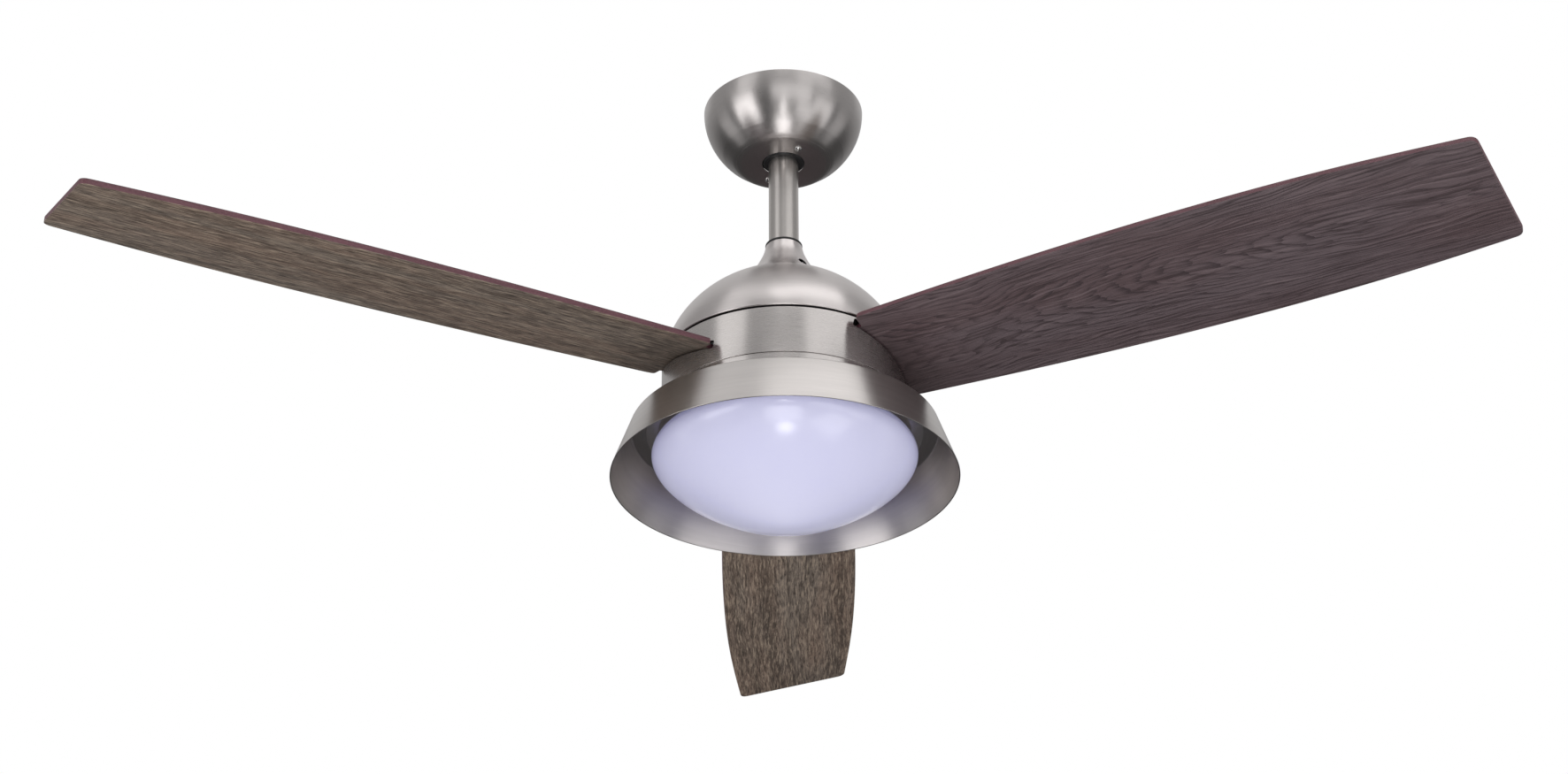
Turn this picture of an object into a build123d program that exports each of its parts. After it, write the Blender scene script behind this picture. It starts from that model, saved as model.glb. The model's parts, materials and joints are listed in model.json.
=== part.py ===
# Ceiling fan with light: three reversible blades, a slotted band that turns with them, and an
# opal glass light under a wide metal skirt. Millimetres, +Z up, origin at the ceiling, on the
# fan's axis. Everything hangs from a slotted bracket by a ball, so it can swing.
import os
from math import asin, cos, degrees, radians, sin

from build123d import *

os.makedirs("parts", exist_ok=True)

# ---- driving dimensions -------------------------------------------------------------------
SHEET = 0.8                     # spun steel of the canopy and the yoke cover
HOUSING_SHEET = 1.0             # spun steel of the housings
RUN = 0.05                      # radial clearance of a running fit

BOX_SCREW_SPACING = 88.9        # outlet-box screw spacing
BOX_SCREW_HOLE_R = 2.75
CANOPY_R = 74.5                 # canopy rim radius
CANOPY_DEPTH = 68.5             # full depth of the canopy's ellipse
CANOPY_HEIGHT = 55.4            # height to its flat bottom
CANOPY_HOLE_R = 19.8
CANOPY_SCREW_R = 29.4           # radius at which the canopy screws sit
CANOPY_SCREW_AZIMUTH = -62

BALL_R = 28.0                   # hanger ball
BALL_Z = -34.4                  # its centre: the point that the fan swings about
ROD_R = 13.8
ROD_WALL = 2.0
ROD_TOP = -26.0
ROD_LENGTH = 152.0              # a six-inch downrod

DOME_R = 108.4                  # upper housing
DOME_BASE = -272.4
DOME_DEPTH = 91.0
DOME_POWER = 1.8                # superellipse exponent
DOME_FLAT_R = 34.0              # flat top, under the yoke cover
BAND_R = 109.7
BAND_TOP = -275.5
BAND_BOTTOM = -320.0
NECK_TOP = -321.0
SHOULDER = -341.2               # top of the skirt's flat shoulder
SKIRT_TOP_R = 137.0
SKIRT_RIM_R = 153.8
SKIRT_RIM = -387.8
SKIRT_SHEET = 1.2
PAN_R = 111.7
PAN_FLANGE_R = 122.5            # rim of the pan's top plate, under the skirt's shoulder
PAN_BOTTOM = -362.0
GLASS_R = 117.5
GLASS_WIDEST = -365.0           # height at which the glass is widest
GLASS_DEPTH = 65.5
GLASS_WALL = 3.0

BLADE_COUNT = 3
BLADE_AZIMUTH = 89.4            # first blade: it points almost along +Y
BLADE_PITCH = 12.6
BLADE_DROOP = 1.1
BLADE_PLANE = -291.9            # where the blades' undersides meet the axis
BLADE_ROOT = 103.0
BLADE_TIP = 656.0
BLADE_ROOT_HALF = 56.0
BLADE_TIP_HALF = 57.8
FACE_THICKNESS = 0.5            # laminate on each side
CORE_THICKNESS = 4.2
BLADE_THICKNESS = CORE_THICKNESS + 2 * FACE_THICKNESS
TONGUE_HALF = 43.5              # the blade's tongue, which goes in through the slot
TONGUE_END = 62.0
TONGUE_TAPER = 9.0
SLOT_HALF = 50.0
SLOT_BELOW = 1.3                # slot edges, below and above the blade's underside
SLOT_ABOVE = 6.4
TONGUE_SCREWS = ((70, -24), (70, 24), (90, 0))

SHAFT_R = 8.5
SHAFT_BORE_R = 5.5
MOTOR_R = 80.0
MOTOR_SPLIT = -245.0            # joint between the two rotor shells
MOTOR_BOTTOM = -268.0
STATOR_R = 61.8
STATOR_TEETH = 12
STATOR_HALF_HEIGHT = 12.0
BEARING_HEIGHT = 9.0
BEARING_CENTRES = (-209.5, -266.5)
BEARING_R = 19.0
BALL_COUNT = 9
BALL_BEARING_R = 2.6
BALL_PITCH_R = 13.5

LIGHT_PLATE_TOP = -323.0
LIGHT_PLATE_BOTTOM = -325.0
GLASS_LOCK_WIDTH = 14           # degrees taken by each bayonet lug

BLADE_AZIMUTHS = [BLADE_AZIMUTH + i * 360 / BLADE_COUNT for i in range(BLADE_COUNT)]
BETWEEN_BLADES = [azimuth + 180 / BLADE_COUNT for azimuth in BLADE_AZIMUTHS]
SECTION = Plane.XZ              # sketch x is radius, sketch y is height


def save(part, name):
    """Label a finished piece and write it as one STEP file."""
    part.label = name
    export_step(part, f"parts/{name}.step")


def radial_plane(azimuth):
    """Section plane through the axis: sketch x outwards, sketch y up."""
    a = radians(azimuth)
    return Plane(origin=(0, 0, 0), x_dir=(cos(a), sin(a), 0), z_dir=(sin(a), -cos(a), 0))


def blade_plane(azimuth, height=0.0):
    """Plane of a blade: x towards the tip, y across the blade, z out of its upper side."""
    a = radians(azimuth)
    pitch = radians(BLADE_PITCH)
    droop = radians(BLADE_DROOP)
    outwards = Vector(cos(a) * cos(droop), sin(a) * cos(droop), -sin(droop))
    across = Vector(-sin(a) * cos(pitch), cos(a) * cos(pitch), -sin(pitch))
    normal = outwards.cross(across).normalized()
    origin = Vector(0, 0, BLADE_PLANE) + normal * height
    return Plane(origin=origin, x_dir=outwards, z_dir=normal)


def superellipse(width, depth, power, x):
    """Height of a superellipse quarter at distance x from its axis."""
    return depth * (1 - (x / width) ** power) ** (1 / power)


def polar(radius, azimuth):
    """Plan position at a radius and an azimuth in degrees."""
    return (radius * cos(radians(azimuth)), radius * sin(radians(azimuth)))


# ---- ceiling bracket ----------------------------------------------------------------------
PLATE = 2.5                     # thickness of the bracket's steel
SEAT_TOP = -52.1
SEAT_BOTTOM = SEAT_TOP - PLATE
SEAT_R = 22.6                   # hole that the ball sits in
SEAT_PLATE_R = 41.0
LEG_INNER = 36.0
ROD_SLOT_AZIMUTH = 28            # side opening that the rod slides in through
ROD_SLOT_WIDTH = 29
ROD_SLOT_LENGTH = 60

with BuildPart() as bracket:
    with BuildSketch(Plane.XY.offset(-PLATE)):
        RectangleRounded(42, 112, 8)
        with Locations((0, BOX_SCREW_SPACING / 2), (0, -BOX_SCREW_SPACING / 2)):
            Circle(BOX_SCREW_HOLE_R, mode=Mode.SUBTRACT)
        Circle(11, mode=Mode.SUBTRACT)
    extrude(amount=PLATE)
    with BuildSketch(Plane.XY.offset(SEAT_BOTTOM)):
        Circle(SEAT_PLATE_R)
        Circle(SEAT_R, mode=Mode.SUBTRACT)
        with Locations(Location((*polar(ROD_SLOT_LENGTH / 2, ROD_SLOT_AZIMUTH), 0),
                                (0, 0, ROD_SLOT_AZIMUTH))):
            Rectangle(ROD_SLOT_LENGTH, ROD_SLOT_WIDTH, mode=Mode.SUBTRACT)
        with Locations(polar(CANOPY_SCREW_R, CANOPY_SCREW_AZIMUTH),
                       polar(CANOPY_SCREW_R, CANOPY_SCREW_AZIMUTH + 180)):
            Circle(2.1, mode=Mode.SUBTRACT)
    extrude(amount=PLATE)
    with BuildSketch(Plane.XY.offset(SEAT_BOTTOM)):
        with Locations((0, LEG_INNER + PLATE / 2), (0, -LEG_INNER - PLATE / 2)):
            Rectangle(26, PLATE)
    extrude(amount=-SEAT_BOTTOM)
save(bracket.part, "ceiling_bracket")

# ---- canopy -------------------------------------------------------------------------------
rim_angle = -degrees(asin(CANOPY_HEIGHT / CANOPY_DEPTH))
inner_angle = -degrees(asin((CANOPY_HEIGHT - SHEET) / (CANOPY_DEPTH - SHEET)))

with BuildPart() as canopy:
    with BuildSketch(SECTION):
        with BuildLine():
            outer = EllipticalCenterArc(
                (0, 0), CANOPY_R, CANOPY_DEPTH, start_angle=rim_angle, arc_size=-rim_angle
            )
            inner = EllipticalCenterArc(
                (0, 0), CANOPY_R - SHEET, CANOPY_DEPTH - SHEET,
                start_angle=inner_angle, arc_size=-inner_angle,
            )
            Line(outer @ 1, inner @ 1)
            Polyline(
                outer @ 0,
                (CANOPY_HOLE_R, -CANOPY_HEIGHT),
                (CANOPY_HOLE_R, -CANOPY_HEIGHT + SHEET),
                inner @ 0,
            )
        make_face()
    revolve(axis=Axis.Z)
    with BuildSketch(Plane.XY.offset(-CANOPY_HEIGHT - 1)):
        with Locations(polar(CANOPY_SCREW_R, CANOPY_SCREW_AZIMUTH),
                       polar(CANOPY_SCREW_R, CANOPY_SCREW_AZIMUTH + 180)):
            Circle(2.3)
    extrude(amount=4, mode=Mode.SUBTRACT)
save(canopy.part, "canopy")

with BuildPart() as canopy_screws:
    for azimuth in (CANOPY_SCREW_AZIMUTH, CANOPY_SCREW_AZIMUTH + 180):
        x, y = polar(CANOPY_SCREW_R, azimuth)
        with BuildSketch(Plane.XY.offset(-CANOPY_HEIGHT - 2)):
            with Locations((x, y)):
                Circle(3.3)
        extrude(amount=2)
        with BuildSketch(Plane.XY.offset(-CANOPY_HEIGHT)):
            with Locations((x, y)):
                Circle(2.0)
        extrude(amount=7)
        with BuildSketch(Plane.XY.offset(-CANOPY_HEIGHT - 2)):
            with Locations((x, y)):
                Rectangle(4, 0.8)
                Rectangle(0.8, 4)
        extrude(amount=1, mode=Mode.SUBTRACT)
save(canopy_screws.part, "canopy_screws")

# ---- remote-control receiver, between the bracket's legs ------------------------------------
RECEIVER_TOP = -3.2

with BuildPart() as receiver:
    with BuildSketch(Plane.XY.offset(RECEIVER_TOP - 16)):
        RectangleRounded(85, 42, 4)
    extrude(amount=16)
    fillet(receiver.faces().sort_by(Axis.Z)[0].edges(), 2)
save(receiver.part, "receiver")

# ---- hanger ball, its cross pin and the downrod ---------------------------------------------
BALL_TOP = -28.0
BALL_BOTTOM = -56.0
PIN_R = 3.0
PIN_HALF = 25.0
SOCKET_GAP = 0.1                # the rod's slip fit in the ball and in the collar

with BuildPart() as hanger_ball:
    with Locations((0, 0, BALL_Z)):
        Sphere(BALL_R)
    split(bisect_by=Plane.XY.offset(BALL_TOP), keep=Keep.BOTTOM)
    split(bisect_by=Plane.XY.offset(BALL_BOTTOM), keep=Keep.TOP)
    with BuildSketch(Plane.XY.offset(BALL_BOTTOM - 1)):
        Circle(ROD_R + SOCKET_GAP)
    extrude(amount=BALL_TOP - BALL_BOTTOM + 2, mode=Mode.SUBTRACT)
    with Locations(Location((0, 0, BALL_Z), (0, 90, 0))):
        Cylinder(PIN_R + RUN, 2 * BALL_R, mode=Mode.SUBTRACT)
    with BuildSketch(Plane.XZ.offset(-BALL_R - 1)):
        with Locations((0, -46)):
            Circle(2.4)
    extrude(amount=BALL_R + 1 - ROD_R, mode=Mode.SUBTRACT)
save(hanger_ball.part, "hanger_ball")

with BuildPart() as ball_set_screw:
    with BuildSketch(Plane.XZ.offset(-22)):
        with Locations((0, -46)):
            Circle(2.3)
    extrude(amount=22 - ROD_R - 0.15)
save(ball_set_screw.part, "ball_set_screw")

with BuildPart() as hanger_pin:
    with Locations(Location((0, 0, BALL_Z), (0, 90, 0))):
        Cylinder(PIN_R, 2 * PIN_HALF)
    chamfer(hanger_pin.edges().filter_by(GeomType.CIRCLE), 0.6)
save(hanger_pin.part, "hanger_pin")

CLEVIS_Z = -170.0
ROD_BOTTOM = ROD_TOP - ROD_LENGTH

with BuildPart() as downrod:
    with BuildSketch(Plane.XY.offset(ROD_BOTTOM)):
        Circle(ROD_R)
        Circle(ROD_R - ROD_WALL, mode=Mode.SUBTRACT)
    extrude(amount=ROD_LENGTH)
    with Locations(Location((0, 0, BALL_Z), (0, 90, 0))):
        Cylinder(PIN_R + RUN, 40, mode=Mode.SUBTRACT)
    with Locations(Location((0, 0, CLEVIS_Z), (90, 0, 0))):
        Cylinder(PIN_R + SOCKET_GAP, 40, mode=Mode.SUBTRACT)
save(downrod.part, "downrod")

# Three leads from the receiver to the motor and the light: down the rod, past both cross
# pins, then inwards into the hollow shaft.
LEAD_R = 1.1
LEAD_ROUTES = (
    ((5.6, 6.0), (2.4, 1.4)),
    ((-5.6, 6.0), (-2.4, 1.4)),
    ((-5.6, -6.0), (0.0, -2.8)),
)
LEAD_TOP = -24.0
LEAD_BEND_TOP = -174.5
LEAD_BEND_BOTTOM = -187.0
LEAD_END = -332.0

with BuildPart() as lead_wires:
    for (rod_x, rod_y), (shaft_x, shaft_y) in LEAD_ROUTES:
        with BuildLine() as route:
            FilletPolyline(
                (rod_x, rod_y, LEAD_TOP),
                (rod_x, rod_y, LEAD_BEND_TOP),
                (shaft_x, shaft_y, LEAD_BEND_BOTTOM),
                (shaft_x, shaft_y, LEAD_END),
                radius=10,
            )
        with BuildSketch(Plane(origin=(rod_x, rod_y, LEAD_TOP), z_dir=(0, 0, -1))):
            Circle(LEAD_R)
        sweep(path=route.line)
save(lead_wires.part, "lead_wires")

# ---- yoke cover: concave flared cover over the joint of rod and motor -----------------------
YOKE_TOP = -147.9
YOKE_OUTLINE = ((16.65, YOKE_TOP), (18.8, -156.7), (22.6, -165.5), (29.0, -177.0), (40.0, -189.6))
YOKE_HOLE_AZIMUTH = -54
YOKE_HOLE_Z = -177.0

with BuildPart() as yoke_cover:
    with BuildSketch(SECTION):
        with BuildLine():
            outside = Spline(*YOKE_OUTLINE)
            inside = Spline(*[(r - HOUSING_SHEET, z) for r, z in YOKE_OUTLINE])
            Line(outside @ 0, inside @ 0)
            Line(outside @ 1, inside @ 1)
        make_face()
    revolve(axis=Axis.Z)
    with BuildSketch(radial_plane(YOKE_HOLE_AZIMUTH + 90)):
        with Locations((0, YOKE_HOLE_Z)):
            Circle(4)
    extrude(amount=40, both=True, mode=Mode.SUBTRACT)
save(yoke_cover.part, "yoke_cover")

SEAL_INNER_R = 13.9             # rubber ring that closes the cover's top round the rod
SEAL_OUTER_R = 16.9
SEAL_HEIGHT = 1.5

with BuildPart() as yoke_seal:
    with BuildSketch(Plane.XY.offset(YOKE_TOP)):
        Circle(SEAL_OUTER_R)
        Circle(SEAL_INNER_R, mode=Mode.SUBTRACT)
    extrude(amount=SEAL_HEIGHT)
    fillet(yoke_seal.faces().sort_by(Axis.Z)[-1].edges(), 0.5)
save(yoke_seal.part, "yoke_seal")

# ---- motor coupling: collar round the rod's end, with the flange that carries the dome ------
COLLAR_R = 17.5
COLLAR_TOP = -160.0
COLLAR_FLOOR = ROD_BOTTOM - 1
LEAD_WELL_R = 10.0              # room for the leads to gather above the shaft
FLANGE_R = 31.0
DOME_TOP = DOME_BASE + superellipse(DOME_R, DOME_DEPTH, DOME_POWER, DOME_FLAT_R)
FLANGE_TOP = DOME_BASE + superellipse(
    DOME_R - HOUSING_SHEET, DOME_DEPTH - HOUSING_SHEET, DOME_POWER, DOME_FLAT_R
)
FLANGE_BOTTOM = FLANGE_TOP - 4
HOUSING_SCREW_RADIUS = 24.5     # from the axis to the three screws that clamp the dome
SHAFT_TOP = -187.0
SET_SCREW_Z = -163.0
SET_SCREW_R = 2.5
CLEVIS_PIN_END = 19.2           # where the cotter pin goes through

with BuildPart() as coupling:
    with BuildSketch(SECTION):
        with BuildLine():
            Polyline(
                (ROD_R + SOCKET_GAP, COLLAR_TOP),
                (COLLAR_R, COLLAR_TOP),
                (COLLAR_R, FLANGE_TOP),
                (FLANGE_R, FLANGE_TOP),
                (FLANGE_R, FLANGE_BOTTOM),
                (SHAFT_R, FLANGE_BOTTOM),
                (SHAFT_R, SHAFT_TOP),
                (LEAD_WELL_R, SHAFT_TOP),
                (LEAD_WELL_R, COLLAR_FLOOR),
                (ROD_R + SOCKET_GAP, COLLAR_FLOOR),
                close=True,
            )
        make_face()
    revolve(axis=Axis.Z)
    with Locations(Location((0, 0, CLEVIS_Z), (90, 0, 0))):
        Cylinder(PIN_R + SOCKET_GAP, 60, mode=Mode.SUBTRACT)
    with Locations(Location((0, 0, SET_SCREW_Z), (0, 90, 0))):
        Cylinder(SET_SCREW_R + SOCKET_GAP, 60, mode=Mode.SUBTRACT)
    with PolarLocations(HOUSING_SCREW_RADIUS, 3):
        with Locations((0, 0, FLANGE_TOP - 2)):
            Cylinder(2.1, 6, mode=Mode.SUBTRACT)
save(coupling.part, "motor_coupling")

with BuildPart() as clevis_pin:
    with Locations(Location((0, 0, CLEVIS_Z), (90, 0, 0))):
        Cylinder(PIN_R, 42)
        with Locations((0, 0, 20.2)):
            Cylinder(4.6, 1.6)
    with Locations((0, CLEVIS_PIN_END, CLEVIS_Z)):
        Cylinder(0.9, 20, mode=Mode.SUBTRACT)
save(clevis_pin.part, "clevis_pin")

with BuildPart() as cotter_pin:
    with Locations((0, CLEVIS_PIN_END, CLEVIS_Z)):
        Cylinder(0.8, 13)
    with Locations(Location((0, CLEVIS_PIN_END, CLEVIS_Z - 7.6), (90, 0, 0))):
        Torus(1.9, 0.8)
save(cotter_pin.part, "cotter_pin")

with BuildPart() as coupling_set_screws:
    for side in (-1, 1):
        with Locations(Location((side * 15.9, 0, SET_SCREW_Z), (0, side * 90, 0))):
            Cylinder(SET_SCREW_R, 4)
            Cylinder(1.2, 4.2, mode=Mode.SUBTRACT)
save(coupling_set_screws.part, "coupling_set_screws")

# ---- motor shaft: hollow, it carries the motor, the light and the leads ----------------------
SHAFT_BOTTOM = -333.0

with BuildPart() as motor_shaft:
    with BuildSketch(Plane.XY.offset(SHAFT_BOTTOM)):
        Circle(SHAFT_R)
        Circle(SHAFT_BORE_R, mode=Mode.SUBTRACT)
    extrude(amount=SHAFT_TOP - SHAFT_BOTTOM)
save(motor_shaft.part, "motor_shaft")

# ---- upper housing: stationary spun dome with a rolled lower edge ---------------------------
DOME_STEPS = 9
DOME_HOLE_R = 18.0
BEAD_R = 1.1


def dome_outline(inset):
    """Points from the flat top to the base, further in by the sheet's thickness."""
    width = DOME_R - inset
    depth = DOME_DEPTH - inset
    radii = [DOME_FLAT_R + (width - DOME_FLAT_R) * sin(radians(90 * i / DOME_STEPS))
             for i in range(DOME_STEPS + 1)]
    return [(r, DOME_BASE + superellipse(width, depth, DOME_POWER, r)) for r in radii]


with BuildPart() as upper_housing:
    with BuildSketch(SECTION):
        with BuildLine():
            outside = Spline(*dome_outline(0))
            inside = Spline(*dome_outline(HOUSING_SHEET))
            Polyline(
                outside @ 0,
                (DOME_HOLE_R, (outside @ 0).Y),
                (DOME_HOLE_R, (inside @ 0).Y),
                inside @ 0,
            )
            Line(outside @ 1, inside @ 1)
        make_face()
        with Locations((DOME_R + 0.2, DOME_BASE - 0.6)):
            Circle(BEAD_R)
    revolve(axis=Axis.Z)
    with PolarLocations(HOUSING_SCREW_RADIUS, 3):
        with Locations((0, 0, DOME_TOP)):
            Cylinder(2.3, 8, mode=Mode.SUBTRACT)
save(upper_housing.part, "upper_housing")

with BuildPart() as housing_screws:
    with PolarLocations(HOUSING_SCREW_RADIUS, 3):
        with Locations((0, 0, DOME_TOP + 1.0)):
            Cylinder(3.6, 2.0)
        with Locations((0, 0, DOME_TOP - 2.4)):
            Cylinder(2.0, 4.8)
        with Locations((0, 0, DOME_TOP + 1.6)):
            Box(5, 0.9, 0.8, mode=Mode.SUBTRACT)
save(housing_screws.part, "housing_screws")

# ---- motor: wound stator on the shaft, bearings, and the rotor that turns round it -----------
SLOT_FLOOR_R = 34.0
TOOTH_HALF = 4.0
TOOTH_TIP_R = 57.5
SLOT_MOUTH_HALF = 1.6
COIL_WALL = 3.6
COIL_INNER_R = 38.0
COIL_LENGTH = 17.0
COIL_GAP = 0.2
tooth_azimuths = [i * 360 / STATOR_TEETH for i in range(STATOR_TEETH)]

with BuildPart() as stator_core:
    with BuildSketch(Plane.XY.offset(MOTOR_SPLIT - STATOR_HALF_HEIGHT)):
        Circle(STATOR_R)
        Circle(TOOTH_TIP_R, mode=Mode.SUBTRACT)
        with PolarLocations(STATOR_R, STATOR_TEETH, start_angle=180 / STATOR_TEETH):
            Rectangle(20, 2 * SLOT_MOUTH_HALF, mode=Mode.SUBTRACT)
        Circle(SLOT_FLOOR_R)
        with PolarLocations((SLOT_FLOOR_R + TOOTH_TIP_R) / 2, STATOR_TEETH):
            Rectangle(TOOTH_TIP_R - SLOT_FLOOR_R + 3, 2 * TOOTH_HALF)
        Circle(SHAFT_R, mode=Mode.SUBTRACT)
    extrude(amount=2 * STATOR_HALF_HEIGHT)
save(stator_core.part, "stator_core")

with BuildPart() as stator_windings:
    for azimuth in tooth_azimuths:
        a = radians(azimuth)
        across_tooth = Plane(
            origin=(COIL_INNER_R * cos(a), COIL_INNER_R * sin(a), MOTOR_SPLIT),
            x_dir=(-sin(a), cos(a), 0),
            z_dir=(cos(a), sin(a), 0),
        )
        with BuildSketch(across_tooth):
            RectangleRounded(
                2 * (TOOTH_HALF + COIL_GAP + COIL_WALL),
                2 * (STATOR_HALF_HEIGHT + COIL_GAP + COIL_WALL),
                3,
            )
            Rectangle(
                2 * (TOOTH_HALF + COIL_GAP),
                2 * (STATOR_HALF_HEIGHT + COIL_GAP),
                mode=Mode.SUBTRACT,
            )
        extrude(amount=COIL_LENGTH)
save(stator_windings.part, "stator_windings")

RACE_WALL = BALL_PITCH_R - SHAFT_R - 1.8

with BuildPart() as inner_races:
    for centre in BEARING_CENTRES:
        with Locations((0, 0, centre)):
            Cylinder(SHAFT_R + RACE_WALL, BEARING_HEIGHT)
            Cylinder(SHAFT_R, BEARING_HEIGHT, mode=Mode.SUBTRACT)
            Torus(BALL_PITCH_R, BALL_BEARING_R + RUN, mode=Mode.SUBTRACT)
save(inner_races.part, "bearing_inner_races")

with BuildPart() as outer_races:
    for centre in BEARING_CENTRES:
        with Locations((0, 0, centre)):
            Cylinder(BEARING_R, BEARING_HEIGHT)
            Cylinder(BALL_PITCH_R + 1.8, BEARING_HEIGHT, mode=Mode.SUBTRACT)
            Torus(BALL_PITCH_R, BALL_BEARING_R + RUN, mode=Mode.SUBTRACT)
save(outer_races.part, "bearing_outer_races")

with BuildPart() as bearing_balls:
    for centre in BEARING_CENTRES:
        with Locations((0, 0, centre)):
            with PolarLocations(BALL_PITCH_R, BALL_COUNT):
                Sphere(BALL_BEARING_R)
save(bearing_balls.part, "bearing_balls")

SHELL = 3.0
SHELL_FLOOR = MOTOR_BOTTOM + 4  # inner face of the lower shell's bottom
VENT_RADIUS = 45                # from the axis to the upper shell's six vents
VENT_R = 6
HUB_R = 23.0
SCREW_R = 2.5
HEX_HEAD_R = 4.4
HEX_HEAD = 3.0                  # height of a hexagon head
ROUND_HEAD_R = 4.4
CROSS_LENGTH = 5.2              # driver slots of a round head
CROSS_WIDTH = 0.9
IRON_SCREWS = ((50, -13), (50, 13))
BRACKET_SCREW_R = 66.0
UPPER_HUB_TOP = BEARING_CENTRES[0] + BEARING_HEIGHT / 2
UPPER_HUB_BOTTOM = BEARING_CENTRES[0] - BEARING_HEIGHT / 2
LOWER_HUB_TOP = BEARING_CENTRES[1] + BEARING_HEIGHT / 2
LOWER_HUB_BOTTOM = BEARING_CENTRES[1] - BEARING_HEIGHT / 2
UPPER_RIM = -222.0              # height of the upper shell's shoulder

with BuildPart() as rotor_upper_shell:
    with BuildSketch(SECTION):
        with BuildLine():
            Polyline(
                (BEARING_R, UPPER_HUB_BOTTOM),
                (BEARING_R, UPPER_HUB_TOP),
                (HUB_R, UPPER_HUB_TOP),
                (HUB_R + 1, UPPER_HUB_TOP - 3),
                (56, UPPER_RIM + 10),
                (MOTOR_R - 6, UPPER_RIM + 2),
                (MOTOR_R, UPPER_RIM - 3),
                (MOTOR_R, MOTOR_SPLIT),
                (MOTOR_R - SHELL, MOTOR_SPLIT),
                (MOTOR_R - SHELL, UPPER_RIM - 4),
                (MOTOR_R - 8, UPPER_RIM - SHELL + 1.5),
                (56, UPPER_RIM + 10 - SHELL),
                (HUB_R + 1, UPPER_HUB_BOTTOM),
                close=True,
            )
        make_face()
    revolve(axis=Axis.Z)
    with PolarLocations(VENT_RADIUS, 6):
        with Locations((0, 0, UPPER_HUB_BOTTOM)):
            Cylinder(VENT_R, 20, mode=Mode.SUBTRACT)
save(rotor_upper_shell.part, "rotor_upper_shell")

with BuildPart() as rotor_lower_shell:
    with BuildSketch(SECTION):
        with BuildLine():
            Polyline(
                (BEARING_R, LOWER_HUB_TOP),
                (HUB_R, LOWER_HUB_TOP),
                (HUB_R, SHELL_FLOOR),
                (MOTOR_R - SHELL, SHELL_FLOOR),
                (MOTOR_R - SHELL, MOTOR_SPLIT),
                (MOTOR_R, MOTOR_SPLIT),
                (MOTOR_R, MOTOR_BOTTOM + 3),
                (MOTOR_R - 3, MOTOR_BOTTOM),
                (HUB_R, MOTOR_BOTTOM),
                (HUB_R, LOWER_HUB_BOTTOM),
                (BEARING_R, LOWER_HUB_BOTTOM),
                close=True,
            )
        make_face()
    revolve(axis=Axis.Z)
    with BuildSketch(Plane.XY.offset(MOTOR_BOTTOM)):
        for azimuth in BLADE_AZIMUTHS:
            with Locations(Location((0, 0, 0), (0, 0, azimuth))):
                with Locations(*IRON_SCREWS):
                    Circle(SCREW_R + SOCKET_GAP)
        for azimuth in BETWEEN_BLADES:
            with Locations(polar(BRACKET_SCREW_R, azimuth)):
                Circle(SCREW_R + SOCKET_GAP)
    extrude(amount=SHELL_FLOOR - MOTOR_BOTTOM, mode=Mode.SUBTRACT)
save(rotor_lower_shell.part, "rotor_lower_shell")

with BuildPart() as rotor_ring:
    with BuildSketch(Plane.XY.offset(MOTOR_SPLIT - STATOR_HALF_HEIGHT - 2)):
        Circle(MOTOR_R - SHELL)
        Circle(STATOR_R + 0.6, mode=Mode.SUBTRACT)
    extrude(amount=2 * STATOR_HALF_HEIGHT + 4)
save(rotor_ring.part, "rotor_ring")

# ---- blade irons: cast wedges under the rotor, each with a pad at the blade's pitch ----------
IRON_FLANGE = 4.0
IRON_INNER = 40.0
WEDGE_INNER = 64.0
WEDGE_OUTER = 76.0
PAD_OUTER = 97.0
PAD_THICKNESS = 4.0
PAD_HALF = 36.0
WEDGE_HEIGHT = 40.0             # before it is cut off flat at the rotor

for number, azimuth in enumerate(BLADE_AZIMUTHS, start=1):
    with BuildPart() as blade_iron:
        with BuildSketch(Plane.XY.offset(MOTOR_BOTTOM - IRON_FLANGE)):
            with Locations(Location((*polar((IRON_INNER + WEDGE_OUTER) / 2, azimuth), 0),
                                    (0, 0, azimuth))):
                RectangleRounded(WEDGE_OUTER - IRON_INNER, 44, 5)
        extrude(amount=IRON_FLANGE)
        with BuildSketch(blade_plane(azimuth, BLADE_THICKNESS)):
            with Locations(((WEDGE_INNER + WEDGE_OUTER) / 2, 0)):
                Rectangle(WEDGE_OUTER - WEDGE_INNER, 34)
        extrude(amount=WEDGE_HEIGHT)
        split(bisect_by=Plane.XY.offset(MOTOR_BOTTOM), keep=Keep.BOTTOM)
        with BuildSketch(blade_plane(azimuth, BLADE_THICKNESS)):
            with Locations(((WEDGE_INNER + PAD_OUTER) / 2, 0)):
                RectangleRounded(PAD_OUTER - WEDGE_INNER, 2 * PAD_HALF, 6)
        extrude(amount=PAD_THICKNESS)
        with BuildSketch(blade_plane(azimuth, BLADE_THICKNESS)):
            with Locations(*TONGUE_SCREWS):
                Circle(SCREW_R + SOCKET_GAP)
        extrude(amount=PAD_THICKNESS, mode=Mode.SUBTRACT)
        with BuildSketch(Plane.XY.offset(MOTOR_BOTTOM - IRON_FLANGE)):
            with Locations(Location((0, 0, 0), (0, 0, azimuth))):
                with Locations(*IRON_SCREWS):
                    Circle(SCREW_R + SOCKET_GAP)
        extrude(amount=IRON_FLANGE, mode=Mode.SUBTRACT)
    save(blade_iron.part, f"blade_iron_{number}")

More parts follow.
